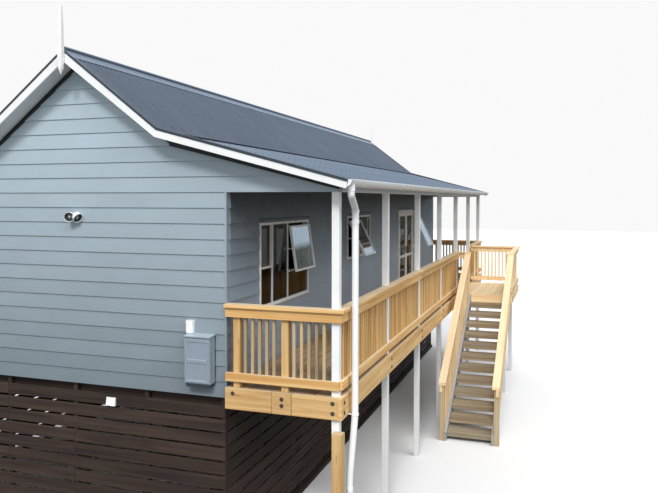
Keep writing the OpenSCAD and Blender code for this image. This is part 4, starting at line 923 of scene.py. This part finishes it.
for x0, x1 in rows(IN_X0, IN_X1, 40, 0.0006):
    y = IN_Y0
    while y < IN_Y1:
        y2 = y + rng.uniform(2.2, 4.5)
        if IN_Y1 - y2 < 0.8:
            y2 = IN_Y1
        inside.box((x0, y + 0.0006, D - FLOOR_T), (x1, y2 - 0.0006, D), "y")
        y = y2
inside.make("house_floor_boards", FLOOR, "floor_timber", ["house_floor"], bevel=0.001)

# ---- windows, doors
dress("window_frames door_frame door_leaf_near door_leaf_far", ALU, 0.002)
dress("open_sashes", SASH, 0.002)
dress("window_glass door_glass_near door_glass_far", GLASS)
dress("sash_glass", SASH_GLASS)
dress("door_handles_near door_handles_far", HANDLE, 0.002, 2)
HOOD = ((-0.016, 0.052), (0.016, 0.046), (0.016, 0.034), (0.019, 0.034), (0.019, 0.0485), (-0.016, 0.055))
heads, seals = Shape(), Shape()
over = [(1, WX, y, y + w, OPEN_H) for y, w, _ in WINDOWS] + [(1, WX, DOOR_1, DOOR_2, DOOR_H)]
for s, x, y0, y1, head in over + [(-1, LX, y, y + w, OPEN_H) for y, w, _ in LEFT_WINDOWS]:
    heads.prism([(s * (x + dx), D + head + dz) for dx, dz in HOOD], "y", y0 - 0.035, y1 + 0.035)
heads.make("head_flashings", DARK_TRIM, "dark_metal")

FRAME, SILL, BAR, PANE, SEAL_W, SEAL_T = 0.035, 0.045, 0.028, 0.0135, 0.005, 0.004


def seal(s, x, y0, y1, z0, z1):
    """A rubber strip round a pane, its face at x."""
    a, b = sorted((s * x, s * (x - SEAL_T)))
    y2, y3, z2, z3 = y0 + SEAL_W, y1 - SEAL_W, z0 + SEAL_W, z1 - SEAL_W
    for ya, za, yb, zb in ((y0, z0, y1, z2), (y0, z3, y1, z1), (y0, z2, y2, z3), (y3, z2, y1, z3)):
        seals.box((a, ya, za), (b, yb, zb))


def panes(s, x0, window, bars, opened=(), splits={}):
    """Seals of the fixed panes between a window's bars.

    opened are the places of sashes, and splits gives a rail's height and the depth of the pane over it.
    """
    y, w, sill = window
    edges = [FRAME] + [e for b in bars for e in (b - BAR / 2, b + BAR / 2)] + [w - FRAME]
    top = OPEN_H - sill - FRAME
    for i, (a, b) in enumerate(zip(edges[::2], edges[1::2])):
        levels = [(SILL, top, PANE)]
        if i in splits:
            cut, deep = splits[i]
            levels = [(SILL, cut, PANE), (cut + BAR, top, deep)]
        for j, (lo, hi, deep) in enumerate(levels):
            if (i, j) not in opened:
                seal(s, x0 - deep, y + a, y + b, D + sill + lo, D + sill + hi)


panes(1, WX, WINDOWS[0], (0.42, 0.985), {(2, 1)}, {0: (0.53, 0.0405), 2: (0.404, PANE)})
panes(1, WX, WINDOWS[1], (0.8,), {(0, 0)})
for window in LEFT_WINDOWS:
    panes(-1, LX, window, (window[1] / 2,))
seals.make("window_seals", RUBBER, "frame_metal")

# ---- gable's fittings
dress("meter_box", BOX, 0.003, 2)
BOX_X, BOX_Z, BOX_TOP = 1.6, D + 0.035, D + 0.606
BOX_R = BOX_X + 0.355
flange = Shape()
for z in (0.1, 0.44):
    flange.turned((BOX_X + 0.0105, -0.1385, BOX_Z + z), AX["z"], [
        (0, 4), (1.5, 5.5), (22, 5.5), (22.5, 4.8), (24.5, 4.8), (25, 5.5), (46, 5.5), (47.5, 4)], 14)
latch = Vector((BOX_R - 0.035, -0.148, BOX_Z + 0.3))
flange.turned(latch, -AX["y"], [(-1, 13), (2, 13), (3.5, 11.5), (3.5, 8), (1.5, 7.5)], 20)
flange.box((latch.x - 0.0015, -0.1535, latch.z - 0.006), (latch.x + 0.0015, -0.149, latch.z + 0.006))
flange.make("meter_box_hinges_and_latch", BOX, "meter_metal", bevel=0.0008)
# A dark block under the meter box and dark strips along its back edges and sides: painted shadow lines.
shadow_strips = Shape()
shadow_strips.box((BOX_X + 0.02, -0.125, BOX_Z - 0.042), (BOX_R - 0.02, 0.015, BOX_Z + 0.001), "x")
z = BOX_TOP - 0.014
for x, a, b in ((BOX_X + 0.001, 0.0055, 0.009), (BOX_R - 0.008, -0.002, 0.0015)):
    shadow_strips.box((x, -0.005, BOX_Z - 0.004), (x + 0.007, 0.016, z))
    shadow_strips.box((x + a, -0.104, BOX_Z), (x + b, -0.1, z))
shadow_strips.make("meter_box_shadow_strips", DARK_TRIM, "meter_metal", bevel=0.001)

shells, liners, lenses, highlight_chips = Shape(), Shape(), Shape(), Shape()
mount = Vector((-0.048, 0, D + 2.03))
shells.turned(mount, -AX["y"], [(-13, 50), (3, 51.2), (6, 51.2), (8, 49.5), (22, 47.5), (28, 42), (30, 34)])
shells.turned(mount, -AX["y"], [(28, 20), (50, 17.5), (58, 12)], 20)
shells.turned(mount + Vector((-0.058, -0.0486, 0)), AX["x"], [(0, 12), (74, 12)], 20)
for x, tip, turn, long in ((-0.058, 12, 25, 80), (0.016, 28, 72, 70)):    # each head tips down and turns right
    tip, turn = radians(tip), radians(turn)
    d = Vector((cos(tip) * sin(turn), -cos(tip) * cos(turn), -sin(tip)))
    p = mount + Vector((x, -0.0486, 0))
    deep = long * 0.45
    shells.turned(p, d, [
        (-6, 22), (-4, 30), (0, 41.5), (10, 46.5), (12, 49.5), (16, 50), (18, 48), (24, 50), (26, 53), (30, 53.5),
        (32, 51.5), (long - 10, 60.5), (long - 8, 63.5), (long - 2, 64.5), (long, 63.2), (long - 1, 60.5),
        (deep + 2, 52), (deep, 43)], 36)
    liners.turned(p, d, [(deep + 0.5, 44), (deep + 3, 50.5), (long - 9, 57.8), (long - 9.5, 56.2), (deep + 5, 48),
                         (deep + 2, 40)], 36)
    lenses.turned(p, d, [(deep + 1, 42.5), (deep + 6, 41.5), (deep + 12, 34), (deep + 16, 22),
                         (deep + 17, 10)], 36)
    # A small white chip at each lens's centre: a painted highlight.
    highlight_chips.turned(p, d, [(deep + 15, 9.5), (deep + 19, 8.5), (deep + 20.5, 5)], 24)
shells.make("security_light_shells", PLASTIC, "white_plastic", ["wall_fittings"], smooth=35)
liners.make("security_light_liners", DARK_TRIM, "white_plastic", smooth=35)
lenses.make("security_light_lenses", LENS, "white_plastic", smooth=50)
highlight_chips.make("security_light_chips", PLASTIC, "white_plastic", smooth=50)

covers = Shape()
for z0, z1, grow in ((BOX_TOP + 0.015, BOX_Z + 0.69, 0), (BOX_Z + 0.69, BOX_Z + 0.738, 0.0015)):    # box and lid
    x0, x1, y = 1.575 - grow, 1.665 + grow, -0.05 - grow
    covers.prism([(x0, 0.014), (x0, y + 0.007), (x0 + 0.002, y + 0.002), (x0 + 0.007, y), (x1 - 0.007, y),
                  (x1 - 0.002, y + 0.002), (x1, y + 0.007), (x1, 0.014)], "z", z0, z1)
VENT_X, VENT_W, VENT_T, VENT_Z = 0.37, 0.1305, 0.0045, BASE_TOP - 0.15
louvres = [(0.05, VENT_Z), (0.01, VENT_Z)]
for i in range(4):
    y, z = 0.01 + i * 0.0048, VENT_Z + 0.004 + i * 0.024
    louvres += [(y, z), (y + 0.0055, z + 0.02), (y + 0.0075, z + 0.02)]
louvres += [(0.03, VENT_Z + 0.105), (0.05, VENT_Z + 0.105)]
covers.prism(louvres, "x", VENT_X + VENT_T, VENT_X + VENT_W)
cheek = [(0.05, VENT_Z - 0.001), (0.009, VENT_Z - 0.001), (0.009, VENT_Z + 0.006), (0.028, VENT_Z + 0.106),
         (0.05, VENT_Z + 0.106)]
for x in (VENT_X, VENT_X + VENT_W):
    covers.prism(cheek, "x", x, x + VENT_T)
covers.make("conduit_cover_and_vent", PLASTIC, "white_plastic", bevel=0.001)


# ---- stage and light
def seen(tree):
    """1 where the camera looks, straight or through glass."""
    ray = node(tree, "LightPath").outputs
    both = {0: ray["Is Camera Ray"], 1: ray["Is Transmission Ray"]}
    return node(tree, "Math", both, operation="MAXIMUM").outputs[0]


floor_mesh = bpy.data.meshes.new("studio_floor")
floor_mesh.from_pydata([(100 * c, 100 * s, -0.001) for c, s in circle(96)], [], [tuple(range(96))])
add_object("studio_floor", floor_mesh)
finish = Finish("studio_floor_finish", 0.9, space="object")
tint = finish.mix(seen(finish.tree), (0.16, 0.16, 0.15, 1), (0.87, 0.87, 0.87, 1))
finish.tree.links.new(tint, finish.out.inputs["Base Color"])
floor_mesh.materials.append(finish.material)

world = bpy.data.worlds.new("studio_world")
scene.world = world
world.use_nodes = True
tree = world.node_tree
way = node(tree, "SeparateXYZ", {0: node(tree, "TexCoord").outputs["Generated"]}).outputs["Z"]
sky = node(tree, "MapRange", {"From Min": 0.036, "From Max": 0.046, "Value": way}).outputs["Result"]
gloss = blend(tree, sky, (0.07, 0.08, 0.06, 1), (0.68, 0.81, 0.95, 1))
tint = blend(tree, node(tree, "LightPath").outputs["Is Glossy Ray"], (0.5, 0.51, 0.53, 1), gloss)
tint = blend(tree, seen(tree), tint, (0.95, 0.95, 0.95, 1))
tree.links.new(tint, tree.nodes["Background"].inputs["Color"])

for name, power, wide, way in (("key", 1.85, 14, (-0.09, 0.76, -0.65)), ("front", 0.25, 30, (-0.05, 0.97, -0.22)),
                               ("fill", 1.6, 50, (-0.62, 0.35, -0.7)), ("back", 0.8, 40, (0.6, -0.5, -0.62))):
    sun = bpy.data.lights.new(name, "SUN")
    sun.energy = power
    sun.angle = radians(wide)
    add_object(name, sun).rotation_euler = Vector(way).to_track_quat("-Z", "Y").to_euler()

# ---- camera
WIDTH, MIDDLE = 658, 246.5    # the photo's width and its middle row, in pixels
FOCAL, PRINCIPAL = 689.7387, 214.746    # the lens's focal length and its principal row
EYE = (5.8995, -7.39685, D + 2.2413)
psi, pitch, roll = 0.326510784, 0.0219031353, 0.00108651636
right = Vector((cos(psi), sin(psi), 0))
flat = Vector((-sin(psi), cos(psi), 0))
ahead = flat * cos(pitch) - AX["z"] * sin(pitch)
up = AX["z"] * cos(pitch) + flat * sin(pitch)
right, up = right * cos(roll) + up * sin(roll), up * cos(roll) - right * sin(roll)
cam = bpy.data.cameras.new("photo_view")
cam.sensor_width = 36.0
cam.lens = FOCAL / WIDTH * 36
cam.shift_y = (PRINCIPAL - MIDDLE) / WIDTH
cam.clip_end = 500
camera = add_object("photo_view", cam)
camera.matrix_world = Matrix([(right[i], up[i], -ahead[i], EYE[i]) for i in range(3)] + [(0, 0, 0, 1)])
scene.camera = camera
scene.view_settings.view_transform = "Standard"
